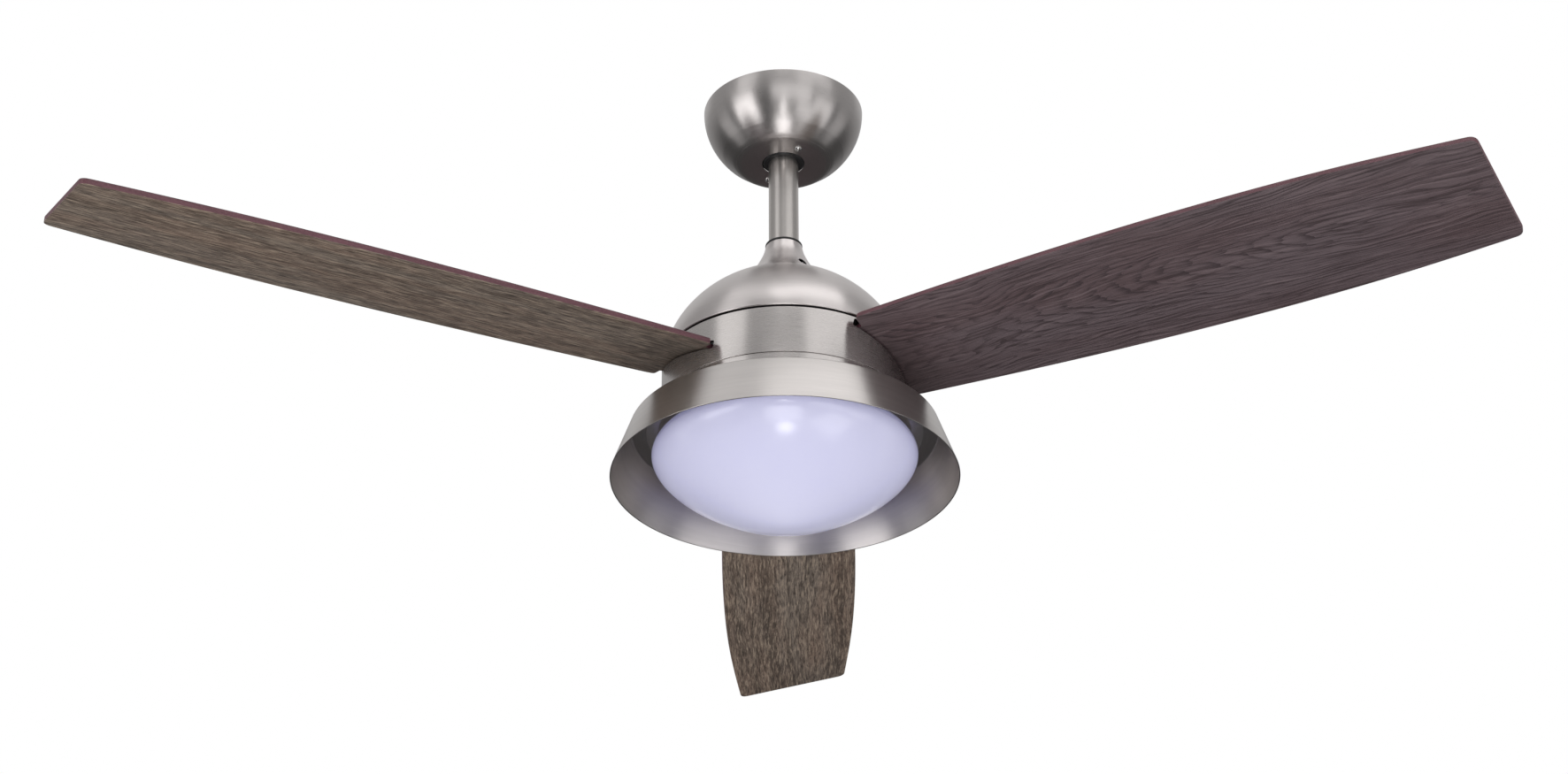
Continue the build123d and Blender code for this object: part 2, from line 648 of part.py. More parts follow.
with BuildPart() as iron_screws:
    for azimuth in BLADE_AZIMUTHS:
        with BuildSketch(Plane.XY.offset(MOTOR_BOTTOM - IRON_FLANGE - HEX_HEAD)):
            with Locations(Location((0, 0, 0), (0, 0, azimuth))):
                with Locations(*IRON_SCREWS):
                    RegularPolygon(HEX_HEAD_R, 6)
        extrude(amount=HEX_HEAD)
        with BuildSketch(Plane.XY.offset(MOTOR_BOTTOM - IRON_FLANGE)):
            with Locations(Location((0, 0, 0), (0, 0, azimuth))):
                with Locations(*IRON_SCREWS):
                    Circle(SCREW_R)
        extrude(amount=IRON_FLANGE + 3.4)
save(iron_screws.part, "iron_screws")

# ---- slotted band: turns with the blades, and its brackets from the rotor --------------------
SLOT_CORNER = 2.0

with BuildPart() as band:
    with BuildSketch(SECTION):
        with BuildLine():
            Polyline(
                (BAND_R, BAND_TOP),
                (BAND_R, BAND_BOTTOM),
                (BAND_R - 4, BAND_BOTTOM),
                (BAND_R - 4, BAND_BOTTOM + HOUSING_SHEET),
                (BAND_R - HOUSING_SHEET, BAND_BOTTOM + HOUSING_SHEET),
                (BAND_R - HOUSING_SHEET, BAND_TOP),
                close=True,
            )
        make_face()
    revolve(axis=Axis.Z)
    for azimuth in BLADE_AZIMUTHS:
        plane = blade_plane(azimuth)
        slot_plane = Plane(
            origin=plane.origin + plane.x_dir * 90, x_dir=plane.y_dir, z_dir=plane.x_dir
        )
        with BuildSketch(slot_plane):
            with Locations((0, (SLOT_ABOVE - SLOT_BELOW) / 2)):
                RectangleRounded(2 * SLOT_HALF, SLOT_ABOVE + SLOT_BELOW, SLOT_CORNER)
        extrude(amount=30, mode=Mode.SUBTRACT)
save(band.part, "slotted_band")

BRACKET_HALF = 11.0
BRACKET_SHEET = 2.0
BRACKET_OUTER = 107.9
BRACKET_LEDGE = -284.0          # top of the bracket's outer step
BRACKET_FOOT = -304.0

BRACKET_OUTLINE = (
    (58, MOTOR_BOTTOM),
    (84, MOTOR_BOTTOM),
    (97, BRACKET_LEDGE),
    (BRACKET_OUTER, BRACKET_LEDGE),
    (BRACKET_OUTER, BRACKET_FOOT),
    (BRACKET_OUTER - BRACKET_SHEET, BRACKET_FOOT),
    (BRACKET_OUTER - BRACKET_SHEET, BRACKET_LEDGE - BRACKET_SHEET),
    (96, BRACKET_LEDGE - BRACKET_SHEET),
    (83, MOTOR_BOTTOM - BRACKET_SHEET),
    (58, MOTOR_BOTTOM - BRACKET_SHEET),
)

with BuildPart() as band_brackets:
    for azimuth in BETWEEN_BLADES:
        with BuildSketch(radial_plane(azimuth)):
            with BuildLine():
                Polyline(*BRACKET_OUTLINE, close=True)
            make_face()
        extrude(amount=BRACKET_HALF, both=True)
    with BuildSketch(Plane.XY.offset(MOTOR_BOTTOM - BRACKET_SHEET)):
        for azimuth in BETWEEN_BLADES:
            with Locations(polar(BRACKET_SCREW_R, azimuth)):
                Circle(SCREW_R + SOCKET_GAP)
    extrude(amount=BRACKET_SHEET, mode=Mode.SUBTRACT)
save(band_brackets.part, "band_brackets")

with BuildPart() as bracket_screws:
    for azimuth in BETWEEN_BLADES:
        with BuildSketch(Plane.XY.offset(MOTOR_BOTTOM - BRACKET_SHEET - HEX_HEAD)):
            with Locations(polar(BRACKET_SCREW_R, azimuth)):
                RegularPolygon(HEX_HEAD_R, 6)
        extrude(amount=HEX_HEAD)
        with BuildSketch(Plane.XY.offset(MOTOR_BOTTOM - BRACKET_SHEET)):
            with Locations(polar(BRACKET_SCREW_R, azimuth)):
                Circle(SCREW_R)
        extrude(amount=BRACKET_SHEET + 3.4)
save(bracket_screws.part, "bracket_screws")

# ---- blades: fibreboard core with a grey-wood laminate on one side and dark oak on the other --
# The third blade is fitted the other way up, so its dark side faces down.
BLADE_OUTLINE = (
    (BLADE_ROOT + 7, BLADE_ROOT_HALF + 0.6),
    (230, 63.6),
    (410, 68.65),
    (560, 65.1),
    (BLADE_TIP, BLADE_TIP_HALF),
)
FLIPPED = (3,)


def blade_outline():
    """Blade seen from above: shouldered root with a tongue, bowed sides and a square tip."""
    with BuildSketch(mode=Mode.PRIVATE) as outline:
        with BuildLine():
            side = Spline(*BLADE_OUTLINE)
            Polyline(
                side @ 0,
                (BLADE_ROOT, BLADE_ROOT_HALF),
                (BLADE_ROOT, TONGUE_HALF),
                (TONGUE_END, TONGUE_HALF - TONGUE_TAPER),
                (TONGUE_END, 0),
                (BLADE_TIP, 0),
                side @ 1,
            )
        make_face()
        mirror(about=Plane.XZ)
        corners = outline.vertices().group_by(Axis.X)
        fillet(corners[-1], 8)
    return outline.sketch


blade_shape = blade_outline()


def blade_layer(azimuth, height, thickness):
    """One layer of a blade: the blade's outline, at a height above the underside."""
    with BuildPart() as layer:
        with BuildSketch(blade_plane(azimuth, height)):
            add(blade_shape)
            with Locations(*TONGUE_SCREWS):
                Circle(SCREW_R + SOCKET_GAP, mode=Mode.SUBTRACT)
        extrude(amount=thickness)
    return layer.part


for number, azimuth in enumerate(BLADE_AZIMUTHS, start=1):
    lower, upper = ("dark_face", "grey_face") if number in FLIPPED else ("grey_face", "dark_face")
    save(blade_layer(azimuth, 0, FACE_THICKNESS), f"{lower}_{number}")
    save(blade_layer(azimuth, FACE_THICKNESS, CORE_THICKNESS), f"blade_core_{number}")
    save(blade_layer(azimuth, FACE_THICKNESS + CORE_THICKNESS, FACE_THICKNESS), f"{upper}_{number}")

WASHER = 0.8
WASHER_R = 5.5
BLADE_SCREW_HEAD = 2.2

with BuildPart() as blade_washers:
    for azimuth in BLADE_AZIMUTHS:
        with BuildSketch(blade_plane(azimuth, -WASHER)):
            with Locations(*TONGUE_SCREWS):
                Circle(WASHER_R)
                Circle(SCREW_R + SOCKET_GAP, mode=Mode.SUBTRACT)
        extrude(amount=WASHER)
save(blade_washers.part, "blade_washers")

with BuildPart() as blade_screws:
    for azimuth in BLADE_AZIMUTHS:
        with BuildSketch(blade_plane(azimuth, -WASHER - BLADE_SCREW_HEAD)):
            with Locations(*TONGUE_SCREWS):
                Circle(ROUND_HEAD_R)
        extrude(amount=BLADE_SCREW_HEAD)
        with BuildSketch(blade_plane(azimuth, -WASHER)):
            with Locations(*TONGUE_SCREWS):
                Circle(SCREW_R)
        extrude(amount=WASHER + BLADE_THICKNESS + PAD_THICKNESS)
        with BuildSketch(blade_plane(azimuth, -WASHER - BLADE_SCREW_HEAD)):
            for u, v in TONGUE_SCREWS:
                with Locations((u, v)):
                    Rectangle(CROSS_LENGTH, CROSS_WIDTH)
                    Rectangle(CROSS_WIDTH, CROSS_LENGTH)
        extrude(amount=BLADE_SCREW_HEAD / 2, mode=Mode.SUBTRACT)
save(blade_screws.part, "blade_screws")

# ---- light plate, nuts, capacitor and LED driver, inside the neck ----------------------------
LIGHT_PLATE_R = 104.0
STANDOFF_R = 95.0               # radius at which the light kit's screws sit
NUT_R = 13.0
NUT_HEIGHT = 6.0
MODULE_HEIGHT = 14.0            # capacitor and LED driver
NECK_R = 109.0

with BuildPart() as light_plate:
    with BuildSketch(Plane.XY.offset(LIGHT_PLATE_BOTTOM)):
        Circle(LIGHT_PLATE_R)
        Circle(SHAFT_R, mode=Mode.SUBTRACT)
        with PolarLocations(STANDOFF_R, 3):
            Circle(SCREW_R + SOCKET_GAP, mode=Mode.SUBTRACT)
        with Locations((-60, 0)):
            SlotOverall(34, 14, rotation=90, mode=Mode.SUBTRACT)
    extrude(amount=LIGHT_PLATE_TOP - LIGHT_PLATE_BOTTOM)
save(light_plate.part, "light_plate")

with BuildPart() as shaft_nuts:
    for bottom in (LIGHT_PLATE_TOP, LIGHT_PLATE_BOTTOM - NUT_HEIGHT):
        with BuildSketch(Plane.XY.offset(bottom)):
            RegularPolygon(NUT_R, 6)
            Circle(SHAFT_R, mode=Mode.SUBTRACT)
        extrude(amount=NUT_HEIGHT)
save(shaft_nuts.part, "shaft_nuts")

with BuildPart() as capacitor:
    with BuildSketch(Plane.XY.offset(LIGHT_PLATE_BOTTOM - MODULE_HEIGHT)):
        with Locations((0, -46)):
            RectangleRounded(50, 26, 3)
    extrude(amount=MODULE_HEIGHT)
    fillet(capacitor.faces().sort_by(Axis.Z)[0].edges(), 1.5)
save(capacitor.part, "capacitor")

with BuildPart() as led_driver:
    with BuildSketch(Plane.XY.offset(LIGHT_PLATE_BOTTOM - MODULE_HEIGHT)):
        with Locations((0, 46)):
            RectangleRounded(86, 34, 3)
    extrude(amount=MODULE_HEIGHT)
    fillet(led_driver.faces().sort_by(Axis.Z)[0].edges(), 1.5)
save(led_driver.part, "led_driver")

# ---- neck, skirt and lamp pan: three spun pieces clamped together ----------------------------
FLANGE_INNER = 80.0             # inner radius of the flanges that are clamped
SKIRT_BOTTOM_FACE = SHOULDER - SKIRT_SHEET
PAN_TOP = SKIRT_BOTTOM_FACE

with BuildPart() as neck:
    with BuildSketch(SECTION):
        with BuildLine():
            Polyline(
                (NECK_R, NECK_TOP),
                (NECK_R, SHOULDER),
                (FLANGE_INNER, SHOULDER),
                (FLANGE_INNER, SHOULDER + HOUSING_SHEET),
                (NECK_R - HOUSING_SHEET, SHOULDER + HOUSING_SHEET),
                (NECK_R - HOUSING_SHEET, NECK_TOP),
                close=True,
            )
        make_face()
    revolve(axis=Axis.Z)
    with BuildSketch(Plane.XY.offset(SHOULDER)):
        with PolarLocations(STANDOFF_R, 3):
            Circle(SCREW_R + SOCKET_GAP)
    extrude(amount=HOUSING_SHEET, mode=Mode.SUBTRACT)
save(neck.part, "light_neck")

SKIRT_CORNER = 2.5

with BuildPart() as skirt:
    with BuildSketch(SECTION) as skirt_section:
        with BuildLine():
            Polyline(
                (FLANGE_INNER, SHOULDER),
                (SKIRT_TOP_R, SHOULDER),
                (SKIRT_RIM_R, SKIRT_RIM),
                (SKIRT_RIM_R - SKIRT_SHEET, SKIRT_RIM),
                (SKIRT_TOP_R - SKIRT_SHEET, SKIRT_BOTTOM_FACE),
                (FLANGE_INNER, SKIRT_BOTTOM_FACE),
                close=True,
            )
        make_face()
        shoulder_corner = skirt_section.vertices().filter_by(
            lambda v: abs(v.X - SKIRT_TOP_R) < 0.01
        )
        fillet(shoulder_corner, SKIRT_CORNER)
        inner_corner = skirt_section.vertices().filter_by(
            lambda v: abs(v.X - SKIRT_TOP_R + SKIRT_SHEET) < 0.01
        )
        fillet(inner_corner, SKIRT_CORNER - SKIRT_SHEET)
    revolve(axis=Axis.Z)
    with BuildSketch(Plane.XY.offset(SKIRT_BOTTOM_FACE)):
        with PolarLocations(STANDOFF_R, 3):
            Circle(SCREW_R + SOCKET_GAP)
    extrude(amount=SKIRT_SHEET, mode=Mode.SUBTRACT)
save(skirt.part, "skirt")

with BuildPart() as lamp_pan:
    with BuildSketch(SECTION):
        with BuildLine():
            Polyline(
                (9, PAN_TOP),
                (PAN_FLANGE_R, PAN_TOP),
                (PAN_FLANGE_R, PAN_TOP - HOUSING_SHEET),
                (PAN_R, PAN_TOP - HOUSING_SHEET),
                (PAN_R, PAN_BOTTOM),
                (PAN_R - HOUSING_SHEET, PAN_BOTTOM),
                (PAN_R - HOUSING_SHEET, PAN_TOP - HOUSING_SHEET),
                (9, PAN_TOP - HOUSING_SHEET),
                close=True,
            )
        make_face()
    revolve(axis=Axis.Z)
    with BuildSketch(Plane.XY.offset(PAN_TOP - HOUSING_SHEET)):
        with PolarLocations(STANDOFF_R, 3):
            Circle(SCREW_R + SOCKET_GAP)
    extrude(amount=HOUSING_SHEET, mode=Mode.SUBTRACT)
save(lamp_pan.part, "lamp_pan")

with BuildPart() as standoffs:
    with BuildSketch(Plane.XY.offset(SHOULDER + HOUSING_SHEET)):
        with PolarLocations(STANDOFF_R, 3):
            RegularPolygon(5, 6)
    extrude(amount=LIGHT_PLATE_BOTTOM - SHOULDER - HOUSING_SHEET)
    with BuildSketch(Plane.XY.offset(SHOULDER + HOUSING_SHEET)):
        with PolarLocations(STANDOFF_R, 3):
            Circle(SCREW_R + SOCKET_GAP)
    extrude(amount=LIGHT_PLATE_BOTTOM - SHOULDER - HOUSING_SHEET, mode=Mode.SUBTRACT)
save(standoffs.part, "light_standoffs")

PAN_SCREW_HEAD = 2.4

with BuildPart() as pan_screws:
    with BuildSketch(Plane.XY.offset(PAN_TOP - HOUSING_SHEET - PAN_SCREW_HEAD)):
        with PolarLocations(STANDOFF_R, 3):
            Circle(ROUND_HEAD_R)
    extrude(amount=PAN_SCREW_HEAD)
    with BuildSketch(Plane.XY.offset(PAN_TOP - HOUSING_SHEET)):
        with PolarLocations(STANDOFF_R, 3):
            Circle(SCREW_R)
    extrude(amount=12)
    with BuildSketch(Plane.XY.offset(PAN_TOP - HOUSING_SHEET - PAN_SCREW_HEAD)):
        with PolarLocations(STANDOFF_R, 3):
            Rectangle(CROSS_LENGTH, CROSS_WIDTH)
            Rectangle(CROSS_WIDTH, CROSS_LENGTH)
    extrude(amount=1.2, mode=Mode.SUBTRACT)
save(pan_screws.part, "pan_screws")

# ---- LED board ------------------------------------------------------------------------------
BOARD_R = 88.0
BOARD_THICKNESS = 1.6
LED_HEIGHT = 0.9
BOARD_TOP = PAN_TOP - HOUSING_SHEET
LED_ROWS = ((30, 8), (54, 14), (78, 20))    # radius and count of each ring of LEDs

with BuildPart() as led_board:
    with BuildSketch(Plane.XY.offset(BOARD_TOP - BOARD_THICKNESS)):
        Circle(BOARD_R)
        Circle(9, mode=Mode.SUBTRACT)
    extrude(amount=BOARD_THICKNESS)
save(led_board.part, "led_board")

with BuildPart() as leds:
    for ring_radius, count in LED_ROWS:
        with BuildSketch(Plane.XY.offset(BOARD_TOP - BOARD_THICKNESS - LED_HEIGHT)):
            with PolarLocations(ring_radius, count):
                RectangleRounded(5, 5, 0.6)
        extrude(amount=LED_HEIGHT)
save(leds.part, "leds")

# ---- bayonet: clips in the pan, lugs on the glass's ring -------------------------------------
CLIP_SHELF_TOP = PAN_BOTTOM
CLIP_SHEET = 1.2
LUG_THICKNESS = 1.4
LUG_GAP = 0.3
RING_R = 109.9
RING_WALL = 2.4
RING_FLANGE_TOP = -366.0
LOCK_AZIMUTHS = (60, 180, 300)


def sector(points, azimuth, width):
    """Solid swept by a section over an arc of the given width, centred on an azimuth."""
    with BuildPart(mode=Mode.PRIVATE) as piece:
        with BuildSketch(radial_plane(azimuth - width / 2)):
            with BuildLine():
                Polyline(*points, close=True)
            make_face()
        revolve(axis=Axis.Z, revolution_arc=width)
    return piece.part


CLIP_OUTLINE = (
    (98.0, BOARD_TOP),
    (98.0, CLIP_SHELF_TOP - CLIP_SHEET),
    (105.5, CLIP_SHELF_TOP - CLIP_SHEET),
    (105.5, CLIP_SHELF_TOP),
    (98.0 + CLIP_SHEET, CLIP_SHELF_TOP),
    (98.0 + CLIP_SHEET, BOARD_TOP),
)
LUG_OUTLINE = (
    (100.2, CLIP_SHELF_TOP + LUG_GAP),
    (RING_R - RING_WALL, CLIP_SHELF_TOP + LUG_GAP),
    (RING_R - RING_WALL, CLIP_SHELF_TOP + LUG_GAP + LUG_THICKNESS),
    (100.2, CLIP_SHELF_TOP + LUG_GAP + LUG_THICKNESS),
)

with BuildPart() as lock_clips:
    for azimuth in LOCK_AZIMUTHS:
        add(sector(CLIP_OUTLINE, azimuth, GLASS_LOCK_WIDTH))
save(lock_clips.part, "lock_clips")

with BuildPart() as glass_ring:
    with BuildSketch(SECTION):
        with BuildLine():
            Polyline(
                (RING_R - RING_WALL, CLIP_SHELF_TOP + LUG_GAP + LUG_THICKNESS),
                (RING_R, CLIP_SHELF_TOP + LUG_GAP + LUG_THICKNESS),
                (RING_R, RING_FLANGE_TOP),
                (GLASS_R - GLASS_WALL - 0.8, RING_FLANGE_TOP),
                (GLASS_R - GLASS_WALL - 0.8, RING_FLANGE_TOP - 1.2),
                (RING_R - RING_WALL, RING_FLANGE_TOP - 1.2),
                close=True,
            )
        make_face()
    revolve(axis=Axis.Z)
    for azimuth in LOCK_AZIMUTHS:
        add(sector(LUG_OUTLINE, azimuth, GLASS_LOCK_WIDTH))
save(glass_ring.part, "glass_ring")

# ---- opal glass: shallow bowl whose sides round into its bottom ------------------------------
GLASS_RIM = -358.5
GLASS_RIM_R = 114.9
GLASS_SIDE = 22.0               # how far the bowl's curve is pulled down at its side
GLASS_FLOOR = 40.0              # and outwards at its bottom
RIM_MIDDLE = (GLASS_WIDEST + GLASS_RIM) / 2


def bowl_points(inset):
    """Control points of the bowl's curve, further in by the glass's thickness."""
    width = GLASS_R - inset
    depth = GLASS_DEPTH - inset
    return (
        (width, GLASS_WIDEST),
        (width, GLASS_WIDEST - GLASS_SIDE),
        (GLASS_FLOOR, GLASS_WIDEST - depth),
        (0, GLASS_WIDEST - depth),
    )


with BuildPart() as glass:
    with BuildSketch(SECTION):
        with BuildLine():
            outside = Bezier(*bowl_points(0))
            inside = Bezier(*bowl_points(GLASS_WALL))
            Line(outside @ 1, inside @ 1)
            ThreePointArc(outside @ 0, (GLASS_R - 0.7, RIM_MIDDLE), (GLASS_RIM_R, GLASS_RIM))
            Line((GLASS_RIM_R, GLASS_RIM), (GLASS_RIM_R - 2.6, GLASS_RIM))
            ThreePointArc(
                (GLASS_RIM_R - 2.6, GLASS_RIM),
                (GLASS_R - GLASS_WALL - 0.5, RIM_MIDDLE),
                inside @ 0,
            )
        make_face()
    revolve(axis=Axis.Z)
save(glass.part, "glass_diffuser")
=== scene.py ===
"""Looks of the ceiling fan with light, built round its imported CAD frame."""
import json
from math import cos, pi, radians, sin, tan

import bmesh
import bpy
import numpy as np
from mathutils import Matrix, Vector


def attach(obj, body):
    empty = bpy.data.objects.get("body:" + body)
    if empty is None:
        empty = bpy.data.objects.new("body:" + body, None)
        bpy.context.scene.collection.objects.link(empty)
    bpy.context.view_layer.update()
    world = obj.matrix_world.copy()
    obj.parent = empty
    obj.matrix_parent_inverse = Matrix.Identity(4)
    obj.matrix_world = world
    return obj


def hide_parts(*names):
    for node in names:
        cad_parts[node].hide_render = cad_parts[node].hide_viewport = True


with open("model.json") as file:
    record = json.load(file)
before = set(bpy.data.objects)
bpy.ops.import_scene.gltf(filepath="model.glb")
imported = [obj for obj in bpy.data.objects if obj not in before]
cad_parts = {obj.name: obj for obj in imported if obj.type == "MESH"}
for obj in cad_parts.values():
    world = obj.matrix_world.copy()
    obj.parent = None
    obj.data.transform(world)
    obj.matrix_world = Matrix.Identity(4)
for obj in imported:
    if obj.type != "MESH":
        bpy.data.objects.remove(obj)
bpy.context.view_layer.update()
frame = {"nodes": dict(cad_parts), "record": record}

scene = bpy.context.scene
MM = 0.001                       # profiles and outlines are written in millimetres
TINY = 1e-6                      # a length below this counts as none

# ---- sizes (mm) -----------------------------------------------------------------------------
# They follow the CAD. Where a shown piece differs a little from it, a comment says so.
CANOPY_R = 74.5
CANOPY_DEPTH = 68.5
CANOPY_HEIGHT = 55.4
CANOPY_HOLE_R = 19.8
CANOPY_SHEET = 0.8
CANOPY_STEPS = 60
CANOPY_CORNER = 15               # the shown canopy's bottom corner is softer than the CAD's
CORNER_STEPS = 14                # steps of the side left out, so that the corner has room
CANOPY_SCREW_R = 29.4
CANOPY_SCREW_AZIMUTHS = (-62, 118)
SCREW_HEAD_R = 3.6               # 0.3 wider than in the CAD
SCREW_HEAD_HEIGHT = 2.3
RECESS_TURNS = (20, 110)         # how the two bars of the cross recess lie
SHANK_R = 2.0
SHANK_LENGTH = 7.0
ROD_R = 13.8
ROD_WALL = 2
ROD_TOP = -26.0
ROD_BOTTOM = -178.0
YOKE_OUTLINE = ((16.65, -147.9), (18.8, -156.7), (22.6, -165.5), (29.0, -177.0), (40.0, -189.6))
YOKE_TOP = YOKE_OUTLINE[0][1]
YOKE_HOLE_R = 4
YOKE_HOLE_AZIMUTH = -54
YOKE_HOLE_Z = -177.0
YOKE_HOLE_CUT = (12, 50)         # the cutter's ends, measured from the axis
SEAL_TOP = -145.7                # the shown rubber ring is 0.7 taller than the CAD's
SEAL_R = 17.0
SEAL_GAP = 0.05
SHEET = 1.0
DOME_R = 108.4
DOME_BASE = -272.4
DOME_DEPTH = 91.0
DOME_POWER = 1.8
DOME_STEPS = 48
DOME_FLAT_R = 34.0
DOME_HOLE_R = 18.0
BEAD_R = 1.1                     # rolled edge round the dome's base
BEAD_OUT = 0.2
BEAD_UP = 0.3                    # the shown edge is 0.9 higher than the CAD's
BAND_R = 109.7
BAND_TOP = -275.5
BAND_BOTTOM = -320.0
BAND_LIP = 4
NECK_R = 109.0
NECK_TOP = -320.2                # 0.8 higher than in the CAD, which leaves a wider gap to the band
SHOULDER = -341.2
FLANGE_INNER = 80.0
SKIRT_TOP_R = 137.0
SKIRT_RIM_R = 153.8
SKIRT_RIM = -387.8
SKIRT_SHEET = 1.2
PAN_R = 111.7
PAN_FLANGE_R = 122.5
PAN_HOLE_R = 9
PAN_BOTTOM = -362.0
GLASS_R = 117.5
GLASS_WIDEST = -365.0
GLASS_DEPTH = 65.5
GLASS_WALL = 3.0
GLASS_RIM = -358.5
GLASS_RIM_R = 114.9
GLASS_RIM_WALL = 2.6
GLASS_SIDE = 22.0                # how far the bowl's curve keeps to the wall, and to the floor
GLASS_FLOOR = 40.0
GLASS_TUCK = 0.7                 # how far the wall has drawn in halfway up to the rim
GLASS_INNER_TUCK = 0.5
GLASS_STEPS = 72
BLADE_AZIMUTHS = (89.4, 209.4, 329.4)
BLADE_PITCH = 12.6
BLADE_DROOP = 1.1
BLADE_PLANE = -291.9
BLADE_ROOT = 103.0
BLADE_TIP = 656
BLADE_OUTLINE = ((110, 56.6), (230, 63.6), (410, 68.65), (560, 65.1), (BLADE_TIP, 57.8))
BLADE_ROOT_HALF = 56.0
BLADE_ROOT_CORNER = 6.5
BLADE_TIP_CORNER = 8
TIP_ROOM = 14                    # length before the tip left without points for that corner
TONGUE_HALF = 43.5
TONGUE_TAPER = 9
TONGUE_END = 62.0
FACE_THICKNESS = 0.5
ARRIS = ((0.45, 0.0), (0.15, 0.12))  # inset and height of the outlines that soften a face's edge
CORE_THICKNESS = 4.2
BLADE_THICKNESS = CORE_THICKNESS + 2 * FACE_THICKNESS
FLIPPED = (3,)                   # blades fitted with the dark side down
GRAIN_SHIFT = 1.7                # metres of grain from one blade to the next, so that none repeat
GRAIN_SHIFT_UP = 0.9             # and from a blade's underside to its top
SLOT_HALF = 50.0
SLOT_BELOW = 1.3
SLOT_ABOVE = 6.4
SLOT_CORNER = 2
SLOT_CUT = (90, 120)             # the cutter's ends, measured along the blade

# ---- camera ---------------------------------------------------------------------------------
CAMERA_PLACE = Vector((0.0018, -2.1696, -1.5057))
CAMERA_TILT = 29.18
CAMERA_TURN = 0.06
CAMERA_ROLL = -0.28
camera = bpy.data.objects.new("camera", bpy.data.cameras.new("camera"))
scene.collection.objects.link(camera)
scene.camera = camera
camera.data.sensor_width = 36
camera.data.lens = 63.88
camera.data.clip_end = 50
camera.matrix_world = (
    Matrix.Translation(CAMERA_PLACE)
    @ Matrix.Rotation(radians(CAMERA_TURN), 4, "Z")
    @ Matrix.Rotation(radians(90 + CAMERA_TILT), 4, "X")
    @ Matrix.Rotation(radians(CAMERA_ROLL), 4, "Z")
)


# ---- shader helper --------------------------------------------------------------------------
class Shader:
    """A node material, with short calls for the nodes used here."""

    def __init__(self, name, colour=(0.5, 0.5, 0.5), **sockets):
        self.material = bpy.data.materials.new(name)
        self.material.use_nodes = True
        self.nodes = self.material.node_tree.nodes
        self.links = self.material.node_tree.links
        self.bsdf = self.nodes["Principled BSDF"]
        self.bsdf.inputs["Base Color"].default_value = (*colour, 1)
        for socket, value in sockets.items():
            self.bsdf.inputs[socket.replace("_", " ")].default_value = value

    def put(self, socket, value):
        """Set an input to a number, or link a node's output to it."""
        if isinstance(value, bpy.types.NodeSocket):
            self.links.new(value, socket)
        elif socket.type == "RGBA":
            socket.default_value = (*value, 1)
        else:
            socket.default_value = value

    def node(self, kind, *values, **settings):
        """Add a node, with its settings and its first inputs."""
        node = self.nodes.new("ShaderNode" + kind)
        for name, value in settings.items():
            setattr(node, name, value)
        for socket, value in zip(node.inputs, values):
            self.put(socket, value)
        return node

    def math(self, operation, a, b=0.0):
        return self.node("Math", a, b, operation=operation).outputs[0]

    def noise(self, vector, scale=1.0, detail=2.0, roughness=0.5):
        node = self.node("TexNoise")
        self.put(node.inputs["Vector"], vector)
        self.put(node.inputs["Scale"], scale)
        self.put(node.inputs["Detail"], detail)
        self.put(node.inputs["Roughness"], roughness)
        return node.outputs["Fac"]

    def span(self, value, low, high, new_low=0.0, new_high=1.0, smooth=False):
        """Map one range of a value to another, held at its ends."""
        node = self.node("MapRange", value, low, high, new_low, new_high)
        if smooth:
            node.interpolation_type = "SMOOTHSTEP"
        return node.outputs[0]

    def mix(self, factor, a, b):
        """Blend two colours."""
        node = self.node("Mix", data_type="RGBA")
        self.put(node.inputs["Factor"], factor)
        self.put(node.inputs["A"], a)
        self.put(node.inputs["B"], b)
        return node.outputs["Result"]

    def xyz(self, x, y, z):
        return self.node("CombineXYZ", x, y, z).outputs[0]

    def stretch(self, u, v, along, across, seed):
        """Noise position with its own scale along and across the grain."""
        return self.xyz(self.math("MULTIPLY", u, along), self.math("MULTIPLY", v, across), seed)

    def split(self, vector):
        return self.node("SeparateXYZ", vector).outputs

    def place(self):
        """Position in the object's own metres."""
        return self.node("TexCoord").outputs["Object"]

    def uv(self, name):
        return self.node("UVMap", uv_map=name).outputs["UV"]

    def bump(self, height, strength, distance):
        node = self.node("Bump")
        node.inputs["Strength"].default_value = strength
        node.inputs["Distance"].default_value = distance
        self.put(node.inputs["Height"], height)
        self.put(self.bsdf.inputs["Normal"], node.outputs["Normal"])


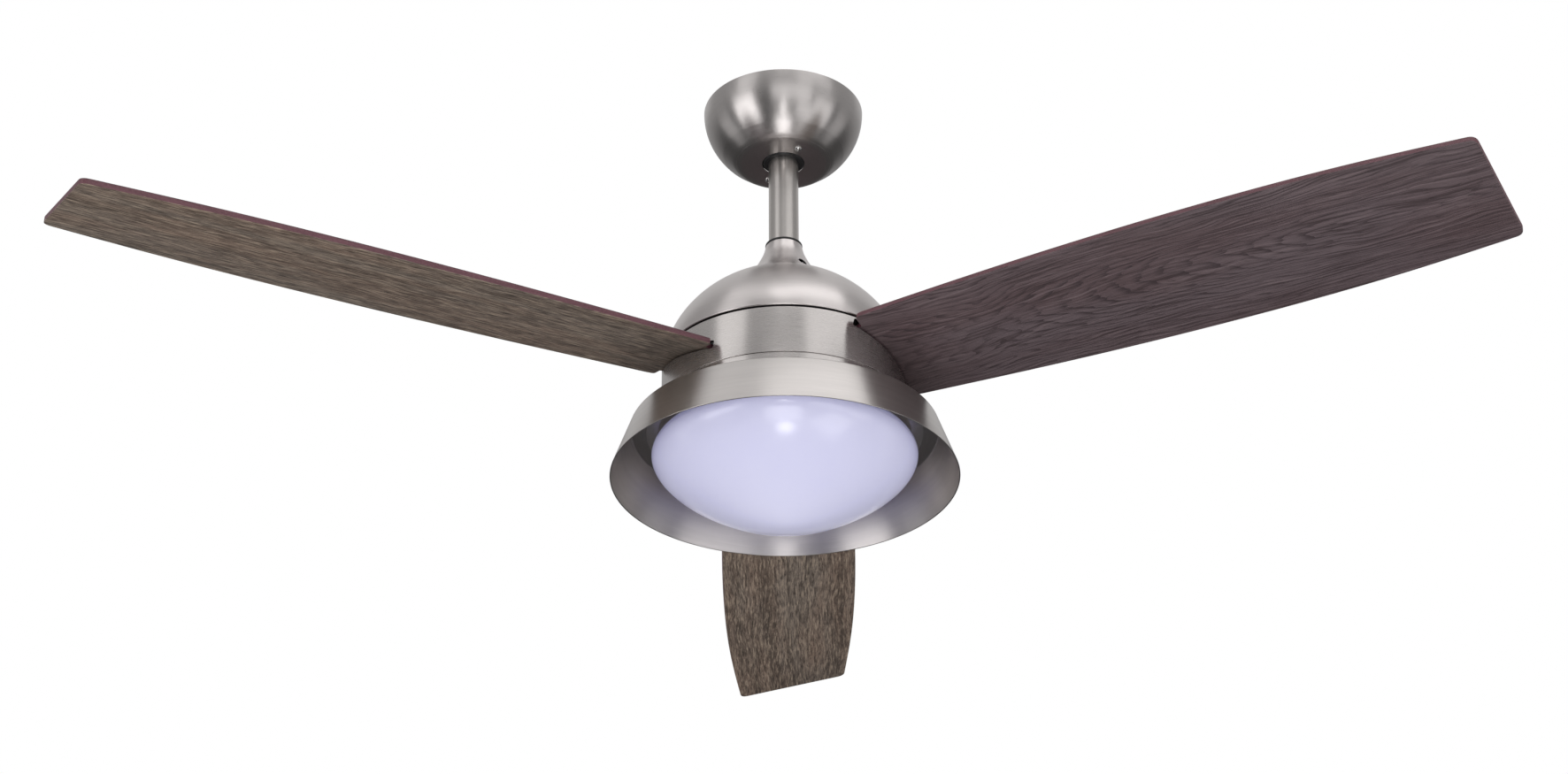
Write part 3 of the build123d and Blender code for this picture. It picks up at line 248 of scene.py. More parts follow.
# ---- materials ------------------------------------------------------------------------------
def brushed_metal(name, colour, roughness, anisotropy, streak=0.05):
    """Spun nickel: fine grooves round the axis, told by the profile's length in the UV map."""
    m = Shader(name, Metallic=1.0, Roughness=roughness, Anisotropic=anisotropy,
               Anisotropic_Rotation=0.25)
    least_radius = 0.001         # keeps the axis itself out of the divisions
    x, y, _ = m.split(m.place())
    radius = m.math("SQRT", m.math("ADD", m.math("MULTIPLY", x, x), m.math("MULTIPLY", y, y)))
    around_x = m.math("DIVIDE", x, m.math("MAXIMUM", radius, least_radius))
    around_y = m.math("DIVIDE", y, m.math("MAXIMUM", radius, least_radius))
    along = m.split(m.uv("brush"))[1]

    def rings(around, per_metre, **settings):
        """Noise that changes little round the axis and much along the profile."""
        return m.noise(
            m.xyz(m.math("MULTIPLY", around_x, around), m.math("MULTIPLY", around_y, around),
                  m.math("MULTIPLY", along, per_metre)), **settings)

    fine = rings(5.0, 2600.0, detail=3.0, roughness=0.7)
    broad = rings(2.0, 260.0, detail=2.0)
    cloud = m.noise(m.place(), scale=14.0, detail=3.0)
    light = tuple(min(1.0, c * (1 + streak)) for c in colour)
    dark = tuple(c * (1 - streak) for c in colour)
    grooves = m.math("ADD", m.math("MULTIPLY", fine, 0.6), m.math("MULTIPLY", broad, 0.4))
    tone = m.mix(m.span(grooves, 0.3, 0.7), dark, light)
    m.put(m.bsdf.inputs["Base Color"], m.mix(m.span(cloud, 0.3, 0.7, 0.0, 0.4), tone, dark))
    m.put(m.bsdf.inputs["Roughness"], m.span(fine, 0.25, 0.75, roughness * 0.85, roughness * 1.15))
    tangent = m.node("Tangent", direction_type="RADIAL", axis="Z")
    m.put(m.bsdf.inputs["Tangent"], tangent.outputs[0])
    m.bump(grooves, 0.06, 0.00005)
    return m.material


def plain_metal(name, colour, roughness=0.35, grain=220.0):
    """Plated or cast metal with a fine uneven surface."""
    m = Shader(name, Metallic=1.0, Roughness=roughness)
    speck = m.noise(m.place(), scale=grain, detail=3.0)
    cloud = m.noise(m.place(), scale=18.0, detail=2.0)
    dark = tuple(c * 0.82 for c in colour)
    m.put(m.bsdf.inputs["Base Color"], m.mix(m.span(cloud, 0.35, 0.65), dark, colour))
    m.put(m.bsdf.inputs["Roughness"], m.span(speck, 0.3, 0.7, roughness * 0.75, roughness * 1.3))
    m.bump(speck, 0.15, 0.0002)
    return m.material


def plastic(name, colour, roughness=0.5):
    """Moulded plastic with a fine spark-eroded texture."""
    m = Shader(name, Roughness=roughness)
    speck = m.noise(m.place(), scale=900.0, detail=2.0)
    cloud = m.noise(m.place(), scale=25.0, detail=2.0)
    light = tuple(min(1.0, c * 1.12) for c in colour)
    m.put(m.bsdf.inputs["Base Color"], m.mix(m.span(cloud, 0.35, 0.65), colour, light))
    m.put(m.bsdf.inputs["Roughness"], m.span(speck, 0.3, 0.7, roughness * 0.85, roughness * 1.1))
    m.bump(speck, 0.3, 0.00008)
    return m.material


def grey_oak():
    """Barn-wood laminate: brown and olive patches under short dark and pale fibres."""
    brown, olive, umber = (0.185, 0.127, 0.096), (0.175, 0.139, 0.114), (0.058, 0.042, 0.032)
    pale_fibre, dark_fibre, crack = (0.386, 0.302, 0.230), (0.052, 0.036, 0.027), (0.035, 0.024, 0.018)
    m = Shader("grey_oak", Roughness=0.62)
    u, v, _ = m.split(m.uv("grain"))
    sway = m.noise(m.stretch(u, v, 11, 24, 0.5), detail=2.0)
    v_bent = m.math("ADD", v, m.math("MULTIPLY", m.math("SUBTRACT", sway, 0.5), 0.012))
    patch = m.noise(m.stretch(u, v_bent, 4, 34, 1.5), detail=3.0, roughness=0.55)
    shade = m.noise(m.stretch(u, v_bent, 4.5, 95, 4.5), detail=4.0, roughness=0.65)
    fibre = m.noise(m.stretch(u, v_bent, 62, 720, 2.5), detail=4.0, roughness=0.65)
    dash = m.noise(m.stretch(u, v_bent, 85, 1150, 3.5), detail=2.0, roughness=0.6)
    tone = m.mix(m.span(patch, 0.40, 0.60), brown, olive)
    tone = m.mix(m.span(shade, 0.38, 0.58), m.mix(0.60, tone, umber), tone)
    tone = m.mix(m.span(fibre, 0.50, 0.68, 0.0, 0.85), tone, pale_fibre)
    tone = m.mix(m.span(fibre, 0.48, 0.36, 0.0, 0.92), tone, dark_fibre)
    tone = m.mix(m.span(dash, 0.57, 0.67, 0.0, 0.85), tone, crack)
    m.put(m.bsdf.inputs["Base Color"], tone)
    m.put(m.bsdf.inputs["Roughness"], m.span(fibre, 0.35, 0.65, 0.72, 0.52))
    m.bump(m.math("SUBTRACT", fibre, m.math("MULTIPLY", dash, 0.6)), 0.4, 0.0003)
    return m.material


def dark_oak():
    """Dark oak laminate: purple-brown, sharp growth lines in cathedrals, and dashed pores."""
    purple, mauve, growth_line = (0.087, 0.057, 0.062), (0.102, 0.075, 0.083), (0.031, 0.018, 0.022)
    dark_fibre, pale_fibre, pore = (0.036, 0.022, 0.024), (0.160, 0.118, 0.126), (0.020, 0.012, 0.014)
    m = Shader("dark_oak", Roughness=0.5)
    u, v, _ = m.split(m.uv("grain"))
    sway = m.noise(m.stretch(u, v, 4, 13, 7.5), detail=3.0, roughness=0.5)
    bend = m.math("MULTIPLY", m.math("SUBTRACT", sway, 0.5), 0.046)
    off_centre = m.math("ADD", m.math("ADD", v, 0.006), bend)
    run = m.math("MULTIPLY", m.math("PINGPONG", m.math("ADD", u, 0.09), 0.36), 0.13)
    rings = m.math("SQRT", m.math("ADD", m.math("MULTIPLY", off_centre, off_centre),
                                  m.math("MULTIPLY", run, run)))
    jitter = m.noise(m.stretch(u, off_centre, 9, 120, 1.0), detail=2.0)
    phase = m.math("FRACT", m.math("ADD", m.math("MULTIPLY", rings, 310.0),
                                   m.math("MULTIPLY", jitter, 2.6)))
    late_wood = m.span(phase, 0.0, 0.5, 1.0, 0.0, smooth=True)
    strength = m.noise(m.stretch(u, off_centre, 6, 70, 8.0), detail=2.0)
    line = m.math("MULTIPLY", late_wood, m.span(strength, 0.34, 0.58, 0.30, 1.0))
    fine = m.noise(m.stretch(u, off_centre, 12, 430, 6.0), detail=4.0, roughness=0.65)
    pores = m.noise(m.stretch(u, off_centre, 75, 950, 9.0), detail=2.0, roughness=0.6)
    cloud = m.noise(m.stretch(u, v, 4, 16, 5.0), detail=3.0)
    tone = m.mix(m.span(cloud, 0.38, 0.62), purple, mauve)
    tone = m.mix(m.math("MULTIPLY", line, 0.88), tone, growth_line)
    tone = m.mix(m.span(fine, 0.48, 0.38, 0.0, 0.75), tone, dark_fibre)
    tone = m.mix(m.span(fine, 0.54, 0.66, 0.0, 0.6), tone, pale_fibre)
    tone = m.mix(m.span(pores, 0.58, 0.70, 0.0, 0.6), tone, pore)
    m.put(m.bsdf.inputs["Base Color"], tone)
    m.put(m.bsdf.inputs["Roughness"], m.span(line, 0.0, 1.0, 0.46, 0.62))
    m.bump(m.math("SUBTRACT", fine, m.math("ADD", pores, m.math("MULTIPLY", line, 0.5))), 0.35, 0.00025)
    return m.material


def blade_edge():
    """Painted fibreboard edge, mauve, with faint marks from the cutter."""
    plum, mauve, rubbed = (0.090, 0.030, 0.040), (0.120, 0.042, 0.056), (0.193, 0.087, 0.099)
    m = Shader("blade_edge", Roughness=0.45)
    u, v, _ = m.split(m.uv("grain"))
    marks = m.noise(m.stretch(u, v, 420, 900, 0.0), detail=3.0)
    rub = m.noise(m.stretch(u, v, 30, 400, 2.0), detail=3.0)
    tone = m.mix(m.span(rub, 0.35, 0.65), plum, mauve)
    tone = m.mix(m.span(marks, 0.45, 0.70, 0.0, 0.35), tone, rubbed)
    m.put(m.bsdf.inputs["Base Color"], tone)
    m.bump(marks, 0.2, 0.0001)
    return m.material


def opal_glass():
    """Opal glass: milky all through, with a satin skin and a dim lilac glow of its own."""
    m = Shader("opal_glass", Roughness=0.24, Subsurface_Weight=0.6, Subsurface_Scale=0.03,
               Coat_Weight=0.6, Coat_Roughness=0.14, IOR=1.5)
    m.bsdf.inputs["Subsurface Radius"].default_value = (1.0, 1.0, 1.0)
    haze = m.noise(m.place(), scale=9.0, detail=2.0)
    tone = m.mix(m.span(haze, 0.3, 0.7), (0.81, 0.81, 1.0), (0.84, 0.84, 1.0))
    m.put(m.bsdf.inputs["Base Color"], tone)
    m.bump(m.noise(m.place(), scale=260.0, detail=2.0), 0.05, 0.0001)
    m.bsdf.inputs["Emission Color"].default_value = (0.50, 0.50, 1.0, 1)
    m.bsdf.inputs["Emission Strength"].default_value = 0.18
    return m.material


BRUSHED = {                      # colour, roughness, anisotropy, and streak where it isn't usual
    "canopy_nickel": ((0.55, 0.52, 0.51), 0.31, 0.72),
    "rod_nickel": ((0.56, 0.53, 0.51), 0.32, 0.5),
    "housing_nickel": ((0.64, 0.60, 0.59), 0.32, 0.7),
    "band_nickel": ((0.63, 0.595, 0.58), 0.26, 0.70),
    # the pan's nickel is lighter than the other nickel: painted light on the pan's wall, which the skirt
    # shades
    "pan_nickel": ((0.78, 0.74, 0.72), 0.36, 0.5),
    "skirt_nickel": ((0.56, 0.53, 0.515), 0.34, 0.6, 0.09),
}
PLAIN = {                        # colour, then roughness and grain where they aren't usual
    "zinc_steel": ((0.55, 0.56, 0.58),),
    "screw_nickel": ((0.72, 0.71, 0.70), 0.18),
    "screw_steel": ((0.60, 0.61, 0.62), 0.28),
    "lamination_steel": ((0.30, 0.30, 0.32), 0.45),
    "bearing_steel": ((0.70, 0.70, 0.71), 0.12),
    "cast_aluminium": ((0.62, 0.62, 0.63), 0.5, 120.0),
    "ring_steel": ((0.7, 0.7, 0.7), 0.4),
    "copper_enamel": ((0.62, 0.25, 0.10), 0.3),
}
MOULDED = {                      # colour, and roughness where it isn't usual
    "black_plastic": ((0.022, 0.022, 0.024),),
    "ball_nylon": ((0.012, 0.012, 0.013), 0.42),
    "lead_insulation": ((0.02, 0.02, 0.022), 0.4),
    "washer_rubber": ((0.6, 0.6, 0.58), 0.6),
    "seal_rubber": ((0.012, 0.012, 0.013), 0.55),
    "board_white": ((0.8, 0.8, 0.78), 0.35),
    "led_phosphor": ((0.75, 0.66, 0.22), 0.3),
}
MATERIALS = {
    **{name: brushed_metal(name, *values) for name, values in BRUSHED.items()},
    **{name: plain_metal(name, *values) for name, values in PLAIN.items()},
    **{name: plastic(name, *values) for name, values in MOULDED.items()},
    "blade_core": blade_edge(),
    "grey_oak": grey_oak(),
    "dark_oak": dark_oak(),
    "opal_glass": opal_glass(),
}
SLOT_OF = {row["node"]: row["material_slot"] for row in frame["record"]["subparts"]}


def wear(obj, material):
    """Give an object one material in every slot."""
    for material_slot in obj.material_slots:
        material_slot.material = material


# ---- meshes ---------------------------------------------------------------------------------
def link(name, mesh, material):
    """Put a mesh into the scene in one material."""
    obj = bpy.data.objects.new(name, mesh)
    scene.collection.objects.link(obj)
    mesh.materials.append(MATERIALS[material])
    return obj


def stand_for(obj, body, slot_name, *nodes):
    """A finished piece rides on its body in place of CAD nodes."""
    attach(obj, body)
    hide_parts(*nodes)


def smooth(obj, angle=32):
    """Shade smooth, but keep edges sharper than an angle in degrees."""
    for polygon in obj.data.polygons:
        polygon.use_smooth = True
    obj.data.set_sharp_from_angle(angle=radians(angle))


def rounded(corners, steps=5):
    """Closed outline with its corners rounded: each corner is (x, y) or (x, y, radius)."""
    points = []
    count = len(corners)
    for i, corner in enumerate(corners):
        here = Vector(corner[:2])
        radius = corner[2] if len(corner) > 2 else 0
        if not radius:
            points.append(tuple(here))
            continue
        before = Vector(corners[i - 1][:2]) - here
        after = Vector(corners[(i + 1) % count][:2]) - here
        half = before.angle(after) / 2
        reach = min(radius / tan(half), before.length * 0.49, after.length * 0.49)
        start = here + before.normalized() * reach
        end = here + after.normalized() * reach
        for step in range(steps + 1):
            t = step / steps
            point = start * (1 - t) ** 2 + here * 2 * t * (1 - t) + end * t * t
            points.append(tuple(point))
    return points


def lathe(name, profile, material, steps=256, angle=32):
    """Turn a closed outline of (radius, height) about the fan's axis."""
    mesh = bpy.data.meshes.new(name)
    bm = bmesh.new()
    brush = bm.loops.layers.uv.new("brush")
    count = len(profile)
    lengths = [0.0]
    for i in range(count):
        lengths.append(lengths[-1] + (Vector(profile[(i + 1) % count]) - Vector(profile[i])).length * MM)
    rings = []
    for r, z in profile:
        if r < TINY:
            rings.append([bm.verts.new((0, 0, z * MM))] * steps)
        else:
            rings.append([bm.verts.new((r * MM * cos(2 * pi * j / steps),
                                        r * MM * sin(2 * pi * j / steps), z * MM))
                          for j in range(steps)])
    for i in range(count):
        lower, upper = rings[i], rings[(i + 1) % count]
        for j in range(steps):
            k = (j + 1) % steps
            corners = [(lower[j], j, i), (lower[k], j + 1, i),
                       (upper[k], j + 1, i + 1), (upper[j], j, i + 1)]
            unique = []          # a point on the axis stands for a whole ring
            for corner in corners:
                if corner[0] not in [c[0] for c in unique]:
                    unique.append(corner)
            if len(unique) < 3:
                continue
            face = bm.faces.new([c[0] for c in unique])
            for loop, (_, turn, place) in zip(face.loops, unique):
                loop[brush].uv = (turn / steps, lengths[place])
    bmesh.ops.recalc_face_normals(bm, faces=bm.faces)
    bm.to_mesh(mesh)
    bm.free()
    obj = link(name, mesh, material)
    smooth(obj, angle)
    return obj


def cut(obj, cutter):
    """Subtract a closed mesh from a piece and keep the result as its mesh."""
    modifier = obj.modifiers.new("cut", "BOOLEAN")
    modifier.operation = "DIFFERENCE"
    modifier.solver = "EXACT"
    modifier.object = cutter
    graph = bpy.context.evaluated_depsgraph_get()
    mesh = bpy.data.meshes.new_from_object(obj.evaluated_get(graph))
    obj.modifiers.clear()
    old, obj.data = obj.data, mesh
    bpy.data.meshes.remove(old)
    bpy.data.objects.remove(cutter)


def prism(name, outline, plane, low, high):
    """Straight prism of a closed outline, between two heights over a plane (a 4x4 matrix)."""
    mesh = bpy.data.meshes.new(name)
    bm = bmesh.new()
    bottom = [bm.verts.new(plane @ Vector((x * MM, y * MM, low * MM))) for x, y in outline]
    top = [bm.verts.new(plane @ Vector((x * MM, y * MM, high * MM))) for x, y in outline]
    bm.faces.new(bottom)
    bm.faces.new(top)
    for i in range(len(outline)):
        k = (i + 1) % len(outline)
        bm.faces.new((bottom[i], bottom[k], top[k], top[i]))
    bmesh.ops.recalc_face_normals(bm, faces=bm.faces)
    bm.to_mesh(mesh)
    bm.free()
    obj = bpy.data.objects.new(name, mesh)
    scene.collection.objects.link(obj)
    return obj


def ellipse(width, depth, start, end, steps):
    """Points on an ellipse round the origin, from one angle to another in degrees."""
    angles = [radians(start + (end - start) * i / steps) for i in range(steps + 1)]
    return [(width * cos(a), depth * sin(a)) for a in angles]


def spline(points, steps):
    """Smooth natural cubic through points, with the given number of steps between two."""
    p = np.array(points, float)
    t = np.concatenate([[0], np.cumsum(np.linalg.norm(np.diff(p, axis=0), axis=1))])
    n = len(p)
    h = np.diff(t)
    system = np.eye(n)
    right = np.zeros_like(p)
    for i in range(1, n - 1):
        system[i, i - 1:i + 2] = h[i - 1], 2 * (h[i - 1] + h[i]), h[i]
        right[i] = 6 * ((p[i + 1] - p[i]) / h[i] - (p[i] - p[i - 1]) / h[i - 1])
    bend = np.linalg.solve(system, right)
    out = []
    for i in range(n - 1):
        for s in range(steps + (i == n - 2)):
            a = s / steps * h[i]
            b = h[i] - a
            out.append(tuple(
                bend[i] * b ** 3 / (6 * h[i]) + bend[i + 1] * a ** 3 / (6 * h[i])
                + (p[i] / h[i] - bend[i] * h[i] / 6) * b
                + (p[i + 1] / h[i] - bend[i + 1] * h[i] / 6) * a
            ))
    return out


def bezier(p0, p1, p2, p3, steps):
    """Points on a cubic curve between its first and last control points."""
    out = []
    for i in range(steps + 1):
        t = i / steps
        weights = ((1 - t) ** 3, 3 * t * (1 - t) ** 2, 3 * t * t * (1 - t), t ** 3)
        out.append(tuple(sum(w * p[k] for w, p in zip(weights, (p0, p1, p2, p3))) for k in (0, 1)))
    return out


def blade_frame(azimuth):
    """Matrix of a blade: x to the tip, y across, z out of the upper side."""
    a, pitch, droop = radians(azimuth), radians(BLADE_PITCH), radians(BLADE_DROOP)
    outwards = Vector((cos(a) * cos(droop), sin(a) * cos(droop), -sin(droop)))
    across = Vector((-sin(a) * cos(pitch), cos(a) * cos(pitch), -sin(pitch)))
    normal = outwards.cross(across).normalized()
    across = normal.cross(outwards)
    matrix = Matrix((outwards, across, normal)).transposed().to_4x4()
    matrix.translation = (0, 0, BLADE_PLANE * MM)
    return matrix


# ---- canopy ---------------------------------------------------------------------------------
def flat_angle(inset):
    """Angle at which the canopy's ellipse meets its flat bottom."""
    return -np.degrees(np.arcsin((CANOPY_HEIGHT - inset) / (CANOPY_DEPTH - inset)))


canopy_outside = ellipse(CANOPY_R, CANOPY_DEPTH, 0, flat_angle(0), CANOPY_STEPS)
canopy_inside = ellipse(CANOPY_R - CANOPY_SHEET, CANOPY_DEPTH - CANOPY_SHEET,
                        flat_angle(CANOPY_SHEET), 0, CANOPY_STEPS)
canopy_profile = rounded(
    [(CANOPY_R, 0, 0.3)] + canopy_outside[1:-CORNER_STEPS] + [(*canopy_outside[-1], CANOPY_CORNER)]
    + [(CANOPY_HOLE_R, -CANOPY_HEIGHT, 0.35), (CANOPY_HOLE_R, -CANOPY_HEIGHT + CANOPY_SHEET, 0.35)]
    + canopy_inside[:-1] + [(CANOPY_R - CANOPY_SHEET, 0, 0.3)]
)
canopy = lathe("canopy_shell", canopy_profile, "canopy_nickel")
stand_for(canopy, "ceiling_mount", "canopy_nickel", "canopy")


# ---- canopy screws --------------------------------------------------------------------------
def domed_screw(name, place):
    """Screw with a domed head and a cross recess, pointing up from its seat."""
    radius, height = SCREW_HEAD_R, SCREW_HEAD_HEIGHT
    screw = lathe(name, rounded([
        (0, SHANK_LENGTH), (SHANK_R, SHANK_LENGTH, 0.4), (SHANK_R, 0), (radius, 0, 0.1),
        (radius, -0.35 * height, 0.6 * height), (0.55 * radius, -height, 0.4 * height), (0, -height),
    ]), "screw_nickel", steps=64, angle=50)
    long, wide = 0.58 * radius, 0.17 * radius
    bar = [(-long, -wide), (long, -wide), (long, wide), (-long, wide)]
    for turn in RECESS_TURNS:
        cross = Matrix.Rotation(radians(turn), 4, "Z")
        cut(screw, prism("recess_cutter", bar, cross, -2 * height, -0.45 * height))
    screw.data.transform(Matrix.Translation(Vector(place) * MM))
    return screw


def join(pieces):
    """Put the meshes of several pieces into the first one."""
    bm = bmesh.new()
    for piece in pieces:
        bm.from_mesh(piece.data)
    bm.to_mesh(pieces[0].data)
    bm.free()
    for piece in pieces[1:]:
        bpy.data.objects.remove(piece)
    return pieces[0]


screw_pair = []
for azimuth in CANOPY_SCREW_AZIMUTHS:
    a = radians(azimuth)
    seat = (CANOPY_SCREW_R * cos(a), CANOPY_SCREW_R * sin(a), -CANOPY_HEIGHT)
    screw_pair.append(domed_screw("canopy_domed_screws", seat))
screws = join(screw_pair)
smooth(screws, 50)
stand_for(screws, "ceiling_mount", "screw_nickel", "canopy_screws")

# ---- downrod --------------------------------------------------------------------------------
rod = lathe("downrod_tube", rounded([
    (ROD_R, ROD_TOP, 0.6), (ROD_R, ROD_BOTTOM, 0.6),
    (ROD_R - ROD_WALL, ROD_BOTTOM, 0.3), (ROD_R - ROD_WALL, ROD_TOP, 0.3),
]), "rod_nickel", steps=128)
stand_for(rod, "hanging", "rod_nickel", "downrod")

seal = lathe("yoke_seal_ring", rounded([
    (ROD_R + SEAL_GAP, SEAL_TOP, 0.4), (ROD_R + SEAL_GAP, YOKE_TOP, 0.1),
    (SEAL_R, YOKE_TOP, 0.3), (SEAL_R, SEAL_TOP, 0.9),
]), "seal_rubber", steps=128)
stand_for(seal, "hanging", "seal_rubber", "yoke_seal")

# ---- yoke cover -----------------------------------------------------------------------------
yoke_outside = spline(YOKE_OUTLINE, 14)
yoke_inside = [(r - SHEET, z) for r, z in reversed(yoke_outside)]
yoke = lathe("yoke_cover_shell", rounded(
    [(*yoke_outside[0], 0.4)] + yoke_outside[1:-1] + [(*yoke_outside[-1], 0.25)]
    + [(*yoke_inside[0], 0.25)] + yoke_inside[1:-1] + [(*yoke_inside[-1], 0.4)]
), "housing_nickel", steps=192)
circle = ellipse(YOKE_HOLE_R, YOKE_HOLE_R, 0, 360, 48)[:-1]
for side in (0, 180):
    hole_plane = (
        Matrix.Rotation(radians(YOKE_HOLE_AZIMUTH + side), 4, "Z")
        @ Matrix.Translation((0, 0, YOKE_HOLE_Z * MM))
        @ Matrix.Rotation(radians(90), 4, "Y")
    )
    cut(yoke, prism("hole_cutter", circle, hole_plane, *YOKE_HOLE_CUT))
smooth(yoke)
stand_for(yoke, "hanging", "housing_nickel", "yoke_cover")


# ---- upper housing --------------------------------------------------------------------------
def dome_outline(inset):
    """Superellipse from the dome's flat top down to its base, inset by the sheet or by nothing."""
    width, depth = DOME_R - inset, DOME_DEPTH - inset
    points = []
    for i in range(DOME_STEPS + 1):
        r = DOME_FLAT_R + (width - DOME_FLAT_R) * sin(pi / 2 * i / DOME_STEPS)
        rise = max(0, 1 - (r / width) ** DOME_POWER) ** (1 / DOME_POWER)
        points.append((r, DOME_BASE + depth * rise))
    return points


dome_outside = dome_outline(0)
dome_inside = dome_outline(SHEET)[::-1]
bead = [(DOME_R + BEAD_OUT + BEAD_R * cos(radians(a)), DOME_BASE + BEAD_UP + BEAD_R * sin(radians(a)))
        for a in range(60, -181, -20)]
dome_profile = rounded(
    [(DOME_HOLE_R, dome_outside[0][1], 0.3), (*dome_outside[0], 6)] + dome_outside[1:-1]
    + bead + dome_inside[1:-1] + [(*dome_inside[-1], 5), (DOME_HOLE_R, dome_inside[-1][1], 0.3)]
)
dome = lathe("upper_housing_shell", dome_profile, "housing_nickel", steps=320)
stand_for(dome, "hanging", "housing_nickel", "upper_housing")

# ---- slotted band ---------------------------------------------------------------------------
band = lathe("slotted_band_shell", rounded([
    (BAND_R, BAND_TOP, 0.45), (BAND_R, BAND_BOTTOM, 0.15),
    (BAND_R - BAND_LIP, BAND_BOTTOM, 0.3), (BAND_R - BAND_LIP, BAND_BOTTOM + SHEET, 0.3),
    (BAND_R - SHEET, BAND_BOTTOM + SHEET, 0.6), (BAND_R - SHEET, BAND_TOP, 0.3),
]), "band_nickel", steps=360)
slot_outline = rounded([
    (-SLOT_HALF, -SLOT_BELOW, SLOT_CORNER), (SLOT_HALF, -SLOT_BELOW, SLOT_CORNER),
    (SLOT_HALF, SLOT_ABOVE, SLOT_CORNER), (-SLOT_HALF, SLOT_ABOVE, SLOT_CORNER),
])
# turns a prism's height along the blade, and its outline across it
along_blade = Matrix(((0, 0, 1, 0), (1, 0, 0, 0), (0, 1, 0, 0), (0, 0, 0, 1)))
for azimuth in BLADE_AZIMUTHS:
    plane = blade_frame(azimuth) @ along_blade
    cut(band, prism("slot_cutter", slot_outline, plane, *SLOT_CUT))
smooth(band)
stand_for(band, "rotor", "band_nickel", "slotted_band")

# ---- neck, skirt and pan --------------------------------------------------------------------
neck = lathe("light_neck_shell", rounded([
    (NECK_R, NECK_TOP, 0.15), (NECK_R, SHOULDER), (FLANGE_INNER, SHOULDER),
    (FLANGE_INNER, SHOULDER + SHEET), (NECK_R - SHEET, SHOULDER + SHEET),
    (NECK_R - SHEET, NECK_TOP, 0.3),
]), "band_nickel", steps=320)    # its brushing matches the band above it
stand_for(neck, "hanging", "housing_nickel", "light_neck")

skirt = lathe("skirt_shell", rounded([
    (FLANGE_INNER, SHOULDER), (SKIRT_TOP_R, SHOULDER, 2.5), (SKIRT_RIM_R, SKIRT_RIM, 0.55),
    (SKIRT_RIM_R - SKIRT_SHEET, SKIRT_RIM, 0.55),
    (SKIRT_TOP_R - SKIRT_SHEET, SHOULDER - SKIRT_SHEET, 1.3), (FLANGE_INNER, SHOULDER - SKIRT_SHEET),
]), "skirt_nickel", steps=360)
stand_for(skirt, "hanging", "skirt_nickel", "skirt")

pan_top = SHOULDER - SKIRT_SHEET
pan = lathe("lamp_pan_shell", rounded([
    (PAN_HOLE_R, pan_top), (PAN_FLANGE_R, pan_top, 0.15), (PAN_FLANGE_R, pan_top - SHEET, 0.4),
    (PAN_R, pan_top - SHEET, 0.3), (PAN_R, PAN_BOTTOM, 0.4), (PAN_R - SHEET, PAN_BOTTOM, 0.4),
    (PAN_R - SHEET, pan_top - SHEET, 0.6), (PAN_HOLE_R, pan_top - SHEET),
]), "pan_nickel", steps=320)
stand_for(pan, "hanging", "pan_nickel", "lamp_pan")


# ---- opal glass -----------------------------------------------------------------------------
def bowl(inset):
    """Half of the bowl's section, from its widest ring to the middle of its floor."""
    width, depth = GLASS_R - inset, GLASS_DEPTH - inset
    return bezier((width, GLASS_WIDEST), (width, GLASS_WIDEST - GLASS_SIDE),
                  (GLASS_FLOOR, GLASS_WIDEST - depth), (0, GLASS_WIDEST - depth), GLASS_STEPS)


rim_middle = (GLASS_WIDEST + GLASS_RIM) / 2
glass_profile = rounded(
    [(GLASS_RIM_R, GLASS_RIM, 0.8), (GLASS_R - GLASS_TUCK, rim_middle, 3)]
    + bowl(0) + bowl(GLASS_WALL)[::-1]
    + [(GLASS_R - GLASS_WALL - GLASS_INNER_TUCK, rim_middle, 3),
       (GLASS_RIM_R - GLASS_RIM_WALL, GLASS_RIM, 0.8)]
)
glass = lathe("opal_bowl", glass_profile, "opal_glass", steps=256, angle=60)
stand_for(glass, "glass", "opal_glass", "glass_diffuser")


# ---- blades ---------------------------------------------------------------------------------
def half_outline():
    """One side of the blade, from the tongue's end to the middle of the tip."""
    side = spline(BLADE_OUTLINE, 16)
    side = [p for p in side[:-1] if p[0] < BLADE_TIP - TIP_ROOM] + side[-1:]
    outline = rounded([
        (TONGUE_END, 0), (TONGUE_END, TONGUE_HALF - TONGUE_TAPER, 1.5),
        (BLADE_ROOT - 1, TONGUE_HALF, 1.2), (BLADE_ROOT, TONGUE_HALF + 0.8, 0.6),
        (BLADE_ROOT, BLADE_ROOT_HALF - 0.4, BLADE_ROOT_CORNER),
    ] + side[:-1] + [(*side[-1], BLADE_TIP_CORNER), (side[-1][0], 0)], steps=8)
    return [p for p in outline if p[1] > TINY or p[0] > BLADE_ROOT]


def blade_outline():
    """Whole outline of a blade: one half, and its mirror image on the way back."""
    half = half_outline()
    return [(x, -y) for x, y in half] + [(x, y) for x, y in reversed(half) if y > TINY]


def inset(outline, distance):
    """Outline moved inwards by a small distance."""
    out = []
    count = len(outline)
    for i, here in enumerate(outline):
        before, after = Vector(outline[i - 1]), Vector(outline[(i + 1) % count])
        along = (after - before).normalized()
        out.append((here[0] - along.y * distance, here[1] + along.x * distance))
    return out


